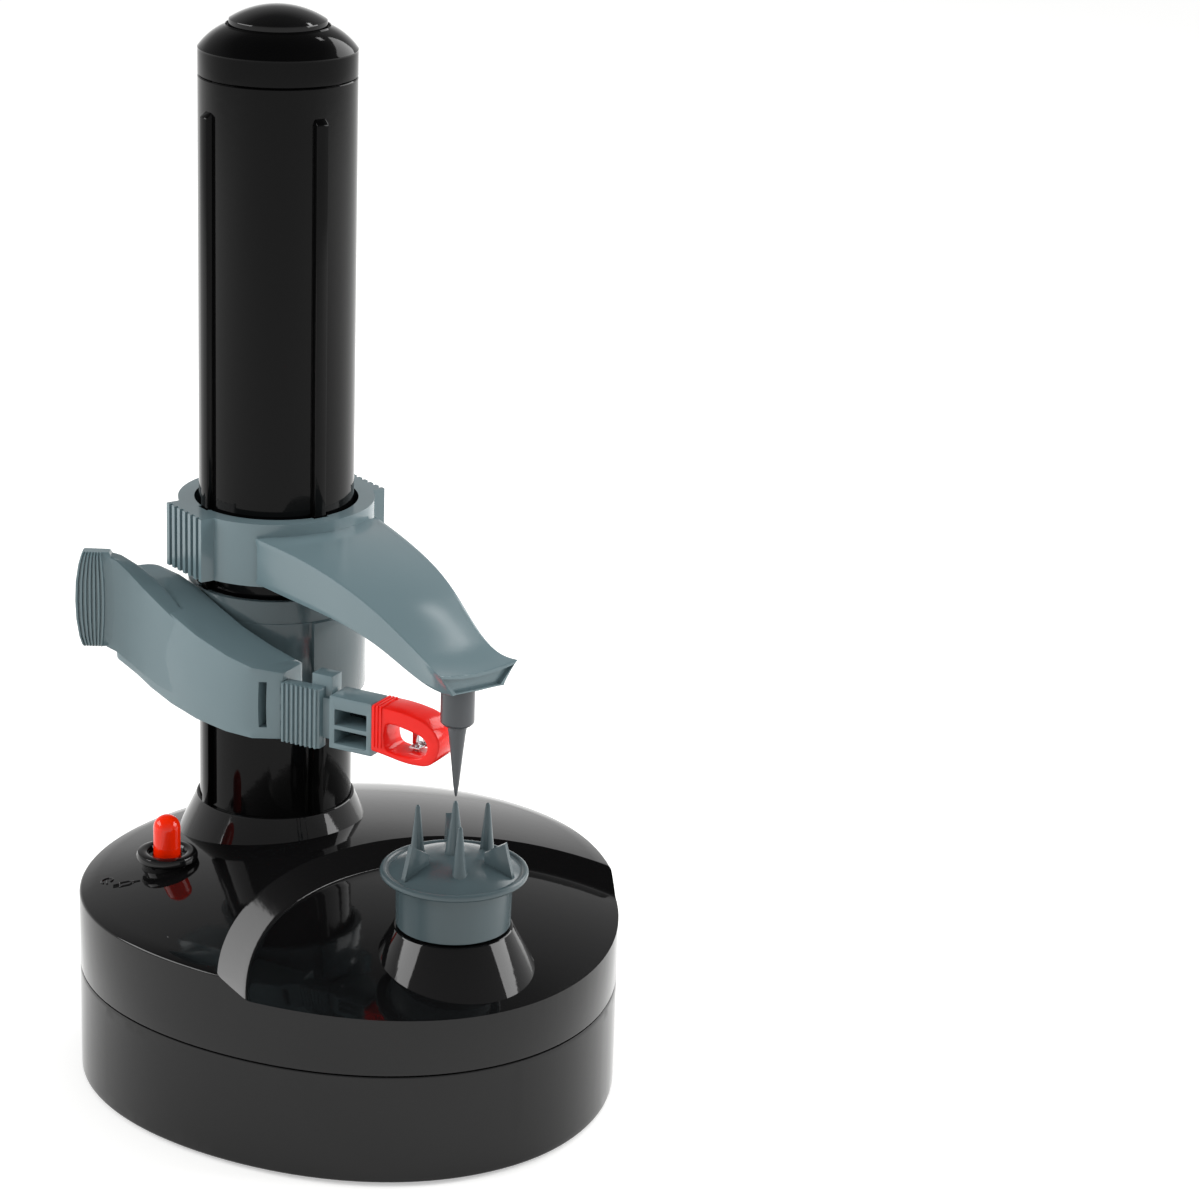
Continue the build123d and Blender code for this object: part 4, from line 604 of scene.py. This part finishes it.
def block(name, low, high, turn=0.0, pivot=(0, 0)):
    """A block between two corners, turned in plan about a pivot."""
    middle = [(a + b) / 2 * MM for a, b in zip(low, high)]
    size = [(b - a) * MM for a, b in zip(low, high)]
    bpy.ops.object.select_all(action="DESELECT")
    bpy.ops.mesh.primitive_cube_add(size=1, location=middle, scale=size)
    piece = bpy.context.object
    piece.name = name
    bpy.ops.object.transform_apply()
    if turn:
        bpy.ops.object.mode_set(mode="EDIT")
        bpy.ops.transform.rotate(
            value=math.radians(-turn), orient_axis="Z", center_override=(pivot[0] * MM, pivot[1] * MM, 0)
        )
        bpy.ops.object.mode_set(mode="OBJECT")
    return piece


for turn in (0, 90, -90):
    rib = block(
        "rib",
        (MAST[0] - rib_width / 2, MAST[1] - rib_reach, rib_foot),
        (MAST[0] + rib_width / 2, MAST[1] - rib_root, rib_top),
        turn,
        MAST,
    )
    only(rib)
    bpy.ops.object.mode_set(mode="EDIT")
    pick(
        rib,
        "VERT",
        lambda vertex: vertex.co.z > rib_shoulder * MM
        and math.hypot(vertex.co.x - MAST[0] * MM, vertex.co.y - MAST[1] * MM) > column_radius * MM,
    )
    bpy.ops.transform.translate(value=(0, 0, (rib_shoulder - rib_top) * MM))
    bpy.ops.object.mode_set(mode="OBJECT")
    modified(
        rib, "BEVEL", width=rib_edge * MM, segments=2, limit_method="ANGLE", angle_limit=math.radians(30)
    )
    boolean(column, rib, "UNION")
slot_start = (MAST[0] - slot_half, MAST[1] + 10, slot_low)
slot_end = (MAST[0] + slot_half, MAST[1] + 30, slot_high)
boolean(column, block("slot", slot_start, slot_end), "DIFFERENCE")
shaded(column)
column.data.materials.append(column_abs)
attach(column, "base")
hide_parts("column_tube")

# ---------------------------------------------------------------- cap and crown
# A domed cap closes the column: a straight band, a rounded shoulder and a rim with the low crown
# set into it, all in the same glossy black.
shoulder = arc((7.2, 259.9), 16.35, 35.5, 66.5, 8)
column_cap = turned(
    "cap_shell",
    MAST,
    [
        (8.0, 247.6),
        (8.0, 271.0),
        (12.6, 271.0),
        (15.5, 262.6),
        (15.5, 254.4),
        (17.9, 254.4),
        (17.9, 262.45),
        (20.2, 262.45),
        (20.5, 262.75),
        (20.5, 268.7),
        (20.46, 269.05),
    ]
    + shoulder
    + [(13.45, 275.3), (13.3, 275.1), (13.3, 274.3), (5.1, 274.2), (5.1, 250.6), (5.1, 247.6)],
    steps=128,
    closed=True,
)
shaded(column_cap)
column_cap.data.materials.append(column_abs)
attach(column_cap, "base")
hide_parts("column_cap")

crown_rise = arc((0, 256.95), 23.3, 57.5, 88, 12)
cap_crown = turned(
    "crown",
    MAST,
    [(4, 274.2), (12.6, 274.2), (12.6, 276.3), (12.5, 276.6)] + crown_rise[1:],
    steps=128,
)
shaded(cap_crown)
cap_crown.data.materials.append(black_abs)
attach(cap_crown, "base")
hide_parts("cap_crown")


# ---------------------------------------------------------------- upper arm with its collar
# One blue-grey moulding: a collar with ridged grips that slides on the column, and a curved arm
# that carries the spike over the turntable and ends in a flared lip. It is hollow underneath.
def spot_key(vertex):
    """A vertex's place as a key to find it by."""
    return tuple(round(c, 8) for c in vertex.co)


def skinned(name, rings):
    """A skin over rings of points: each ring is extruded from the last one and set in place."""
    bpy.ops.object.select_all(action="DESELECT")
    bpy.ops.mesh.primitive_circle_add(vertices=len(rings[0]), radius=MM)
    piece = bpy.context.object
    piece.name = name
    bpy.ops.object.mode_set(mode="EDIT")
    mesh = bmesh.from_edit_mesh(piece.data)
    mesh.verts.ensure_lookup_table()
    held = {spot_key(vertex): index for index, vertex in enumerate(mesh.verts)}
    bpy.ops.mesh.edge_face_add()
    bpy.ops.mesh.select_mode(type="EDGE")
    for number, ring in enumerate(rings):
        if number:
            bpy.ops.mesh.extrude_region_move()
        mesh = bmesh.from_edit_mesh(piece.data)
        chosen = [(vertex, held[spot_key(vertex)]) for vertex in mesh.verts if vertex.select]
        held = {}
        for vertex, index in chosen:
            vertex.co = Vector(ring[index]) * MM
            held[spot_key(vertex)] = index
        bmesh.update_edit_mesh(piece.data)
    bpy.ops.mesh.select_all(action="SELECT")
    bpy.ops.mesh.normals_make_consistent(inside=False)
    bpy.ops.object.mode_set(mode="OBJECT")
    return piece


def creased(piece, test, sharpness):
    """Holds edges firm under the subdivision."""
    only(piece)
    bpy.ops.object.mode_set(mode="EDIT")
    pick(piece, "EDGE", test)
    bpy.ops.transform.edge_crease(value=sharpness)
    bpy.ops.object.mode_set(mode="OBJECT")


arm_wall = 2.2
arm_corner = 0.45
arm_edge = 0.35
# distance in front of the column, half width, top edge, underside, crown, half width underneath
arm_stations = (
    (19.8, 18.5, 146.5, 134.3, 0.4, 18.4),
    (27.0, 17.6, 146.4, 134.0, 0.9, 17.5),
    (37.0, 16.3, 145.9, 133.6, 1.0, 16.1),
    (48.0, 15.1, 144.7, 133.4, 1.0, 14.9),
    (58.5, 13.9, 142.8, 132.9, 0.9, 13.7),
    (69.0, 12.2, 139.6, 130.9, 0.8, 12.0),
    (79.0, 10.5, 135.2, 127.4, 0.5, 10.3),
    (86.5, 9.9, 132.3, 125.2, 0.2, 9.0),
    (92.0, 10.4, 131.2, 124.9, -0.5, 8.2),
    (96.3, 11.7, 131.4, 125.4, -1.3, 7.6),
)


def arm_rings(stations, wall=0.0, drop=0.0):
    """Rings across the arm: a crowned top, and a narrower flat underside."""
    rings = []
    for distance, half, top, under, crown, low_half in stations:
        y = MAST[1] - distance
        half, low_half, top, under = half - wall, low_half - wall, top - wall, under - drop
        crest = [(share, top + crown * (1 - share * share)) for share in (-1, -0.5, 0, 0.5, 1)]
        rings.append(
            [(MAST[0] + half * share, y, level) for share, level in crest]
            + [(MAST[0] + low_half * share, y, under) for share in (1, 0, -1)]
        )
    return rings


def ends_on(points):
    """A test for the edges with both ends on some of these points."""
    spots = [Vector(point) * MM for point in points]

    def on_spot(vertex):
        return min((vertex.co - spot).length for spot in spots) < 0.01 * MM

    return lambda edge: all(map(on_spot, edge.verts))


def on_corners(rings):
    """The points at the four firm corners of the rings of an arm."""
    return [ring[corner] for ring in rings for corner in (0, 4, 5, 7)]


def lengthwise(edge):
    """Whether an edge runs along the arm more than across it."""
    return abs((edge.verts[0].co - edge.verts[1].co).normalized().y) > 0.5


outer_rings = arm_rings(arm_stations)
upper_arm = skinned("upper_arm", outer_rings)
at_corner = ends_on(on_corners(outer_rings))
creased(upper_arm, lambda edge: at_corner(edge) and lengthwise(edge), 1.0)
for near, far in ((-1, 20), (96, 200)):
    creased(
        upper_arm,
        lambda edge: all(MAST[1] - far < vertex.co.y / MM < MAST[1] - near for vertex in edge.verts),
        0.94,
    )
modified(upper_arm, "SUBSURF", levels=3, render_levels=3)
eased(upper_arm, arm_corner, angle=50)
hollow = skinned("arm_hollow", arm_rings(arm_stations[2:7], wall=arm_wall, drop=4.0))
modified(hollow, "SUBSURF", levels=2, render_levels=2)
boolean(upper_arm, hollow, "DIFFERENCE")

collar_low = 133.0
collar_high = 150.0
collar_reach = 26.0
collar_bore = 21.7
grip_half = 9
grip_root, grip_reach = 22.5, 27.3
ridge_root, ridge_reach = 24.5, 28.2
ridge_count = 7
keyway_half = 2.2
keyway_reach = 22.6
bearing_hole = 4.35
collar_bottom = [(collar_bore, collar_low), (collar_reach, collar_low)]
collar_top = [(collar_reach, collar_high), (collar_bore, collar_high)]
collar = turned("collar", MAST, collar_bottom + collar_top, steps=144, closed=True)
bore = turned("bore", MAST, [(collar_bore + 1, 120), (collar_bore + 1, 160)], steps=144)
boolean(upper_arm, bore, "DIFFERENCE")
for side in (-1, 1):
    near, far = sorted((MAST[0] + side * grip_root, MAST[0] + side * grip_reach))
    grip = block("grip", (near, MAST[1] - grip_half, collar_low), (far, MAST[1] + grip_half, collar_high))
    boolean(collar, grip, "UNION")
    near, far = sorted((MAST[0] + side * ridge_root, MAST[0] + side * ridge_reach))
    for ridge in range(ridge_count):
        start = MAST[1] - grip_half + ridge * 2 * grip_half / (ridge_count - 0.5)
        end = start + 2 * grip_half / (2 * ridge_count - 1)
        tool = block("ridge", (near, start, collar_low + 0.01), (far, end, collar_high - 0.01))
        boolean(collar, tool, "UNION")
boolean(upper_arm, collar, "UNION")
for turn in (0, 90, -90):
    start = (MAST[0] - keyway_half, MAST[1] - keyway_reach, 125)
    end = (MAST[0] + keyway_half, MAST[1] - 15, 160)
    boolean(upper_arm, block("keyway", start, end, turn, MAST), "DIFFERENCE")
lip_stations = ((95.0, 10.3, 130.3, 125.9, -1.2, 6.6), (97.5, 11.1, 130.5, 125.9, -1.3, 6.6))
boolean(upper_arm, skinned("lip_recess", arm_rings(lip_stations)), "DIFFERENCE")
socket = turned("bearing_socket", SPINDLE, [(bearing_hole, 110), (bearing_hole, 129)], steps=48)
boolean(upper_arm, socket, "DIFFERENCE")
eased(upper_arm, arm_edge, angle=50)
upper_arm.data.materials.append(grey_abs)
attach(upper_arm, "holder")
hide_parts("holder_arm")

# ---------------------------------------------------------------- spike and its bearing
# The spike is one slim dark grey pin with a plain point. It turns freely in a dark grey bearing
# that is pressed into the arm's tip.
spike_bearing = worked_copy("spike_bearing", "spike_bearing_shell")
eased(spike_bearing, 0.25)
spike_bearing.data.materials.append(spike_abs)
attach(spike_bearing, "holder")
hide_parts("spike_bearing")

spike_point = [(0.12, 94.2), (0.32, 94.6), (0.75, 97.5), (1.55, 105.5), (2.15, 111.0), (2.45, 112.9)]
spike_shank = [(2.4, 113.3), (1.9, 113.3), (1.9, 126.7), (2.9, 126.7), (2.9, 128.4), (2.6, 128.7)]
spike = turned("spike_turned", SPINDLE, spike_point + spike_shank, steps=48)
shaded(spike)
spike.data.materials.append(spike_abs)
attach(spike, "spike")
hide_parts("spike")

# ---------------------------------------------------------------- carriage sleeve
# The sleeve under the collar is a blue-grey moulding, given a darker copy of the arms' blue-grey as painted
# shade for the collar's shadow. It slides on the same ribs, holds the blade arm's hinge and carries the nut
# behind.
sleeve = worked_copy("carriage_sleeve", "sleeve_shell")
eased(sleeve, 0.35)
sleeve.data.materials.append(sleeve_painted_shade_abs)
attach(sleeve, "carriage")
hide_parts("carriage_sleeve")

# ---------------------------------------------------------------- blade arm
# A curved blue-grey arm on the sleeve's hinge. Its back end carries the ridged thumb handle, and
# its front end takes the plug-in blade carrier.
HINGE = (-33.2, 45.0)
ARM_FOOT = 98.0
arm_end = (-25.5, -0.5)
arm_end_depth = 10
inward = Vector((0.8934, 0.4493))
corner_pull = 0.5
face_bulge = 0.25
knuckle_radius = 7.0

# distance in front of the hinge, reach outwards, reach inwards, underside, top
blade_arm_stations = (
    (-12.0, 11.0, 2.4, 9.8, 33.4),
    (-8.0, 10.0, 3.4, 8.6, 32.9),
    (-2.0, 8.9, 4.9, 6.9, 32.3),
    (5.0, 8.4, 6.1, 5.1, 30.8),
    (14.0, 7.4, 7.1, 3.3, 28.1),
    (24.0, 5.7, 8.7, 2.0, 25.0),
    (34.0, 2.7, 11.6, 1.2, 22.1),
    (41.0, -0.9, 14.4, 0.9, 20.1),
)


def blade_arm_ring(outer, inner, low, high):
    """A ring across the blade arm: its outer face bulges a little."""
    outer, inner = Vector((*outer, 0)), Vector((*inner, 0))
    across = (outer - inner).normalized()
    up = Vector((0, 0, 1))
    foot = up * (ARM_FOOT + low)
    rise = up * (high - low)
    return [
        tuple(outer + foot - across * corner_pull),
        tuple(outer + foot + rise * 0.25),
        tuple(outer + foot + rise * 0.5 + across * face_bulge),
        tuple(outer + foot + rise * 0.75),
        tuple(outer + foot + rise - across * corner_pull),
        tuple(inner + foot + rise),
        tuple(inner + foot + rise * 0.5),
        tuple(inner + foot),
    ]


rings = []
for front, out, inn, low, high in blade_arm_stations:
    rings.append(
        blade_arm_ring((HINGE[0] - out, HINGE[1] - front), (HINGE[0] + inn, HINGE[1] - front), low, high)
    )
end_inside = (arm_end[0] + inward.x * arm_end_depth, arm_end[1] + inward.y * arm_end_depth)
rings.append(blade_arm_ring(arm_end, end_inside, 0.7, 18.7))
blade_arm = skinned("blade_arm_shell", rings)
creased(blade_arm, ends_on(on_corners(rings)), 1.0)
creased(blade_arm, ends_on(rings[-1]), 0.92)
modified(blade_arm, "SUBSURF", levels=3, render_levels=3)
eased(blade_arm, arm_corner, angle=50)

# the thumb handle: a barrel-shaped pad with upright ridges, on a short neck
HANDLE = (-50.5, 51.5)
handle_turn = math.radians(37)
handle_along = Vector((math.cos(handle_turn), -math.sin(handle_turn), 0))
handle_face = Vector((-math.sin(handle_turn), -math.cos(handle_turn), 0))
handle_low, handle_high = 113.5, 139.5
handle_width = 11
handle_front = 2.6
thumb_ridges = 7
thumb_pitch = 0.74 / thumb_ridges
section = []
for ridge in range(thumb_ridges):
    start = -0.5 + ridge * thumb_pitch
    for u, v in ((0.08, 0.0), (0.22, 0.75), (0.68, 0.75), (0.84, 0.0)):
        section.append((start + u * thumb_pitch, handle_front + v))
section += [(0.5, 2.2), (0.5, -1.9), (0.42, -2.5), (-0.42, -2.5), (-0.5, -1.9), (-0.5, 2.2)]
# share of the height, of the width and of the depth
lower_levels = ((0, 0.64, 0.6), (0.03, 0.70, 0.85), (0.12, 0.82, 1), (0.3, 0.96, 1), (0.5, 1.0, 1))
upper_levels = ((0.7, 0.96, 1), (0.88, 0.82, 1), (0.97, 0.70, 0.85), (1, 0.64, 0.6))
handle_rings = []
for share, width, depth in lower_levels + upper_levels:
    middle = Vector((*HANDLE, handle_low + (handle_high - handle_low) * share))
    handle_rings.append(
        [
            tuple(middle + handle_along * (handle_width * u * width) + handle_face * (v * depth))
            for u, v in section
        ]
    )
handle = skinned("thumb_handle", handle_rings)
# plan of the front and back of the flare that carries the handle, and its lower and upper edge
flare = (
    ((-39.2, 26.0), (-35.5, 26.0), 104.0, 123.5),
    ((-41.4, 34.5), (-36.0, 35.0), 104.8, 127.8),
    ((-43.2, 40.3), (-37.0, 42.0), 106.8, 131.2),
    ((-45.3, 44.0), (-40.0, 47.2), 109.4, 134.8),
    ((-47.6, 46.3), (-43.9, 49.9), 112.0, 137.8),
    ((-50.4, 48.9), (-48.1, 52.0), 113.7, 139.2),
)
flare_rings = []
for front, back, low, high in flare:
    middle = (low + high) / 2
    flare_rings.append(
        [(*front, low), (*front, middle), (*front, high), (*back, high), (*back, middle), (*back, low)]
    )
neck_piece = skinned("handle_neck", flare_rings)
creased(neck_piece, lambda edge: abs(edge.verts[0].co.z - edge.verts[1].co.z) < 5 * MM, 0.7)
modified(neck_piece, "SUBSURF", levels=3, render_levels=3)
boolean(blade_arm, neck_piece, "UNION")
boolean(blade_arm, handle, "UNION")
pocket = turned("knuckle_pocket", HINGE, [(knuckle_radius, 107.6), (knuckle_radius, 123.0)], steps=64)
boolean(blade_arm, pocket, "DIFFERENCE")

# the end that takes the carrier: a socket for its tongue and a slot for its latch
carrier_along = Vector((inward.y, -inward.x, 0))
carrier_in = Vector((*inward, 0))


def carrier_point(along, rise, depth):
    """A place on the carrier: along its heading, up from the arm's foot, and inwards."""
    return Vector((*arm_end, ARM_FOOT + rise)) + carrier_along * along + carrier_in * depth


def carrier_block(name, along, rise, depth):
    """A block on the carrier, from three ranges."""
    corners = ((rise[0], depth[0]), (rise[1], depth[0]), (rise[1], depth[1]), (rise[0], depth[1]))
    return skinned(name, [[tuple(carrier_point(place, z, n)) for z, n in corners] for place in along])


tongue_hole = ((-8.1, 4.0), (4.4, 14.6), (1.7, 6.9))
latch_hole = ((-5.4, -3.5), (3.9, 16.3), (-6, 3.2))
boolean(blade_arm, carrier_block("socket", *tongue_hole), "DIFFERENCE")
boolean(blade_arm, carrier_block("latch_slot", *latch_hole), "DIFFERENCE")
eased(blade_arm, 0.3, angle=50)
blade_arm.data.materials.append(grey_abs)
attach(blade_arm, "arm")
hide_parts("blade_arm")

# ---------------------------------------------------------------- blade carrier
# The plug-in part of the blade arm: a ridged tab to pull it by, and an open frame that holds the
# guard.
carrier = worked_copy("blade_carrier", "carrier_shell")
eased(carrier, 0.18)
carrier.data.materials.append(grey_abs)
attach(carrier, "arm")
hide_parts("blade_carrier")

# ---------------------------------------------------------------- red guard, blade and pins
# A bright red moulded guard is pushed on the carrier's tongue. It goes round a small stamped
# blade, which swivels on two steel pins.
guard_edge = (
    ((26.7, 15.6), (30.5, 15.65), (34.8, 15.5), (38.0, 15.1), (41.2, 14.4), (43.7, 13.2))
    + ((45.6, 11.3), (46.5, 8.9), (46.2, 6.2), (45.0, 3.8), (43.0, 2.4), (40.2, 1.95))
    + ((36.3, 2.0), (31.5, 2.7), (26.7, 3.4))
)
mouth_edge = (
    ((30.5, 9.4), (31.2, 11.2), (33.0, 11.55), (36.0, 11.15), (38.8, 10.6), (41.3, 9.9))
    + ((42.8, 8.4), (43.0, 6.5), (41.9, 4.8), (39.8, 3.9), (36.5, 3.7), (33.2, 3.9))
    + ((31.3, 4.5), (30.5, 6.0))
)
guard_face = -0.4
guard_back = 8.4
guard_rib_starts = (27.3, 28.3, 29.3)
guard_rib_width = 0.55


def guard_plate(name, knots, front, back, firm):
    """A plate across the guard with a smooth edge; its first and last knots may be firm."""
    edge = bpy.data.curves.new(name, "CURVE")
    edge.dimensions = "3D"
    edge.resolution_u = 6
    path = edge.splines.new("BEZIER")
    path.bezier_points.add(len(knots) - 1)
    for number, (knot, (along, rise)) in enumerate(zip(path.bezier_points, knots)):
        knot.co = carrier_point(along, rise, front) * MM
        kind = "VECTOR" if firm and number in (0, len(knots) - 1) else "AUTO"
        knot.handle_left_type = knot.handle_right_type = kind
    path.use_cyclic_u = True
    piece = bpy.data.objects.new(name, edge)
    bpy.context.collection.objects.link(piece)
    only(piece)
    bpy.ops.object.convert(target="MESH")
    piece = bpy.context.object
    bpy.ops.object.mode_set(mode="EDIT")
    bpy.ops.mesh.select_all(action="SELECT")
    bpy.ops.mesh.remove_doubles(threshold=0.01 * MM)
    bpy.ops.mesh.edge_face_add()
    bpy.ops.mesh.extrude_region_move(TRANSFORM_OT_translate={"value": carrier_in * (back - front) * MM})
    bpy.ops.mesh.select_all(action="SELECT")
    bpy.ops.mesh.normals_make_consistent(inside=False)
    bpy.ops.object.mode_set(mode="OBJECT")
    return piece


guard = guard_plate("guard_shell", guard_edge, guard_face, guard_back, True)
mouth = guard_plate("guard_mouth", mouth_edge, guard_face - 2, guard_back + 2, False)
boolean(guard, mouth, "DIFFERENCE")
eased(guard, 0.45, angle=50, segments=3)
for start in guard_rib_starts:
    span = (start, start + guard_rib_width)
    rib = carrier_block("guard_rib", span, (4.6, 15.95), (guard_face - 0.3, guard_back - 0.7))
    boolean(guard, rib, "UNION")
boolean(guard, carrier_block("tongue_socket", (26.0, 29.5), (5.5, 11.7), (1.9, 6.1)), "DIFFERENCE")
eased(guard, 0.1, angle=50)
guard.data.materials.append(red_abs)
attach(guard, "arm")
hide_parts("blade_guard")


def metal(name, colour, roughness, streak):
    """A metal with fine drawn or turned streaks along its height."""
    paint, shader, here = new_paint(name)
    stretched = here.node("ShaderNodeMapping", {"Vector": here, "Scale": (1, 1, streak)})
    lines = here.node("ShaderNodeTexNoise", {"Vector": stretched, "Scale": 300, "Detail": 3})
    stains = here.node("ShaderNodeTexNoise", {"Vector": here, "Scale": 60, "Detail": 2})
    tone = here.mix(lines * 0.5 + stains * 0.5, [c * 0.8 for c in colour] + [1], list(colour) + [1])
    rough = roughness + lines * 0.12
    relief = here.node("ShaderNodeBump", {"Strength": 0.08, "Distance": 0.0001, "Height": lines})
    feed(shader, tone, rough, relief)
    shader.inputs["Metallic"].default_value = 1.0
    return paint


steel = metal("drawn_steel", (0.56, 0.57, 0.58), 0.25, 0.1)
blade_steel = metal("stamped_steel", (0.72, 0.73, 0.74), 0.16, 0.2)
bronze = metal("sintered_bronze", (0.62, 0.42, 0.20), 0.35, 1.0)
blade = worked_copy("blade", "blade_stamping")
eased(blade, 0.08)
blade.data.materials.append(blade_steel)
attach(blade, "blade")
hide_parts("blade")

# ---------------------------------------------------------------- food holder
# The turntable's head in dark blue-grey: a cup over the hub cone, a disc with a rolled rim, and a
# crown that carries four prongs and three fins.
food_holder = turned(
    "food_holder_shell",
    SPINDLE,
    [(3.05, 72.9), (3.05, 59.7), (6.0, 59.7), (6.0, 72.9), (12.6, 72.9), (12.6, 59.7), (14.35, 59.7)]
    + [(14.6, 59.95), (14.88, 71.6), (15.1, 72.3), (15.7, 72.75), (17.9, 72.95), (18.5, 73.15)]
    + [(18.85, 73.6), (18.9, 74.05), (18.75, 74.5), (18.4, 74.8), (17.95, 74.9), (17.5, 74.8)]
    + [(17.15, 74.5), (16.7, 74.45), (15.4, 75.15), (14.0, 75.9), (11.0, 77.2), (8.0, 78.1)]
    + [(5.0, 78.75), (1.25, 79.05)],
    steps=144,
)
centre_prong = [(2.5, 73.5), (2.45, 79.2), (0.62, 92.2), (0.5, 92.7), (0.25, 92.97)]
outer_prong = [(2.1, 73.3), (2.05, 75.4), (0.62, 89.3), (0.5, 89.8), (0.25, 90.07)]
prong_circle = 10.3
fin_side = ((8.4, 74.0), (16.3, 74.0), (16.2, 74.8), (13.9, 84.0), (8.4, 80.5))
fin_half = 0.75
boolean(food_holder, turned("centre_prong", SPINDLE, centre_prong, steps=40), "UNION")
for turn in (3, 123, 243):
    heading = math.radians(turn)
    place = (SPINDLE[0] + prong_circle * math.cos(heading), SPINDLE[1] + prong_circle * math.sin(heading))
    boolean(food_holder, turned("outer_prong", place, outer_prong, steps=40), "UNION")
    heading = math.radians(turn + 60)
    along = Vector((math.cos(heading), math.sin(heading), 0))
    across = Vector((-along.y, along.x, 0))
    fin_rings = [
        [tuple(Vector((*SPINDLE, level)) + along * radius + across * side) for radius, level in fin_side]
        for side in (-fin_half, fin_half)
    ]
    boolean(food_holder, skinned("fin", fin_rings), "UNION")
eased(food_holder, 0.22, angle=45)
# its dark blue-grey is partly its own colour and partly painted shade for the cup under the disc
food_holder.data.materials.append(grip_abs)
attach(food_holder, "turntable")
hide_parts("food_holder")

# ---------------------------------------------------------------- start button and bezel
# A glossy orange-red capsule that is pushed down to start, in a round black bezel that is clipped
# into the cover from above.
bezel = turned(
    "bezel_ring",
    BUTTON,
    [
        (4.95, 49.4),
        (6.6, 49.4),
        (6.6, 50.3),
        (8.2, 50.3),
        (8.2, 51.9),
        (6.6, 51.9),
        (6.6, 57.6),
        (7.6, 57.8),
        (8.1, 58.3),
        (8.1, 59.3),
        (7.75, 59.95),
        (7.1, 60.2),
        (5.9, 60.2),
        (5.3, 59.95),
        (4.95, 59.4),
        (4.95, 59.0),
        (3.9, 59.0),
        (3.9, 58.3),
        (4.95, 58.3),
    ],
    steps=96,
    closed=True,
)
shaded(bezel)
bezel.data.materials.append(black_abs)
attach(bezel, "base")
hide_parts("button_bezel")

button = turned(
    "button_capsule",
    BUTTON,
    [(1.6, 48.3), (1.6, 56.0), (4.6, 56.0), (4.6, 58.0), (3.62, 58.0), (3.6, 66.6)]
    + arc((0, 66.6), 3.6, 6, 86, 12),
    steps=64,
)
shaded(button, 40)
button.data.materials.append(button_red)
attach(button, "button")
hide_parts("start_button")


# ---------------------------------------------------------------- what stays as it was made
# The works inside the base and the column, the screws, the feet and the inlet keep their own
# shapes, and each gets the finish of its material.
def matt(name, colour, roughness, relief_depth):
    """A matt moulded material, such as acetal gears or soft rubber."""
    paint, shader, here = new_paint(name)
    grain = here.node("ShaderNodeTexNoise", {"Vector": here, "Scale": 500, "Detail": 3})
    patches = here.node("ShaderNodeTexNoise", {"Vector": here, "Scale": 45, "Detail": 2})
    tone = here.mix(patches, [c * 0.9 for c in colour] + [1], [min(1, c * 1.08) for c in colour] + [1])
    rough = roughness - 0.05 + grain * 0.1
    relief = here.node("ShaderNodeBump", {"Strength": 0.2, "Distance": relief_depth, "Height": grain})
    feed(shader, tone, rough, relief)
    return paint


finishes = {
    "gear_plastic": matt("acetal", (0.80, 0.79, 0.74), 0.45, 0.00005),
    "plate_plastic": matt("matt_black_abs", (0.02, 0.02, 0.022), 0.55, 0.0001),
    "rubber": matt("soft_rubber", (0.018, 0.018, 0.018), 0.8, 0.0002),
    "steel": steel,
    "blade_steel": blade_steel,
    "bronze": bronze,
    "black_plastic": black_abs,
    "grey_plastic": grey_abs,
    "red_plastic": red_abs,
    "grip_grey": grip_abs,
}
slots = {part["node"]: part["material_slot"] for part in frame["record"]["subparts"]}
for node, shown in frame["nodes"].items():
    if not shown.hide_render:
        shown.data.materials.clear()
        shown.data.materials.append(finishes[slots[node]])

low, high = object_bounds()
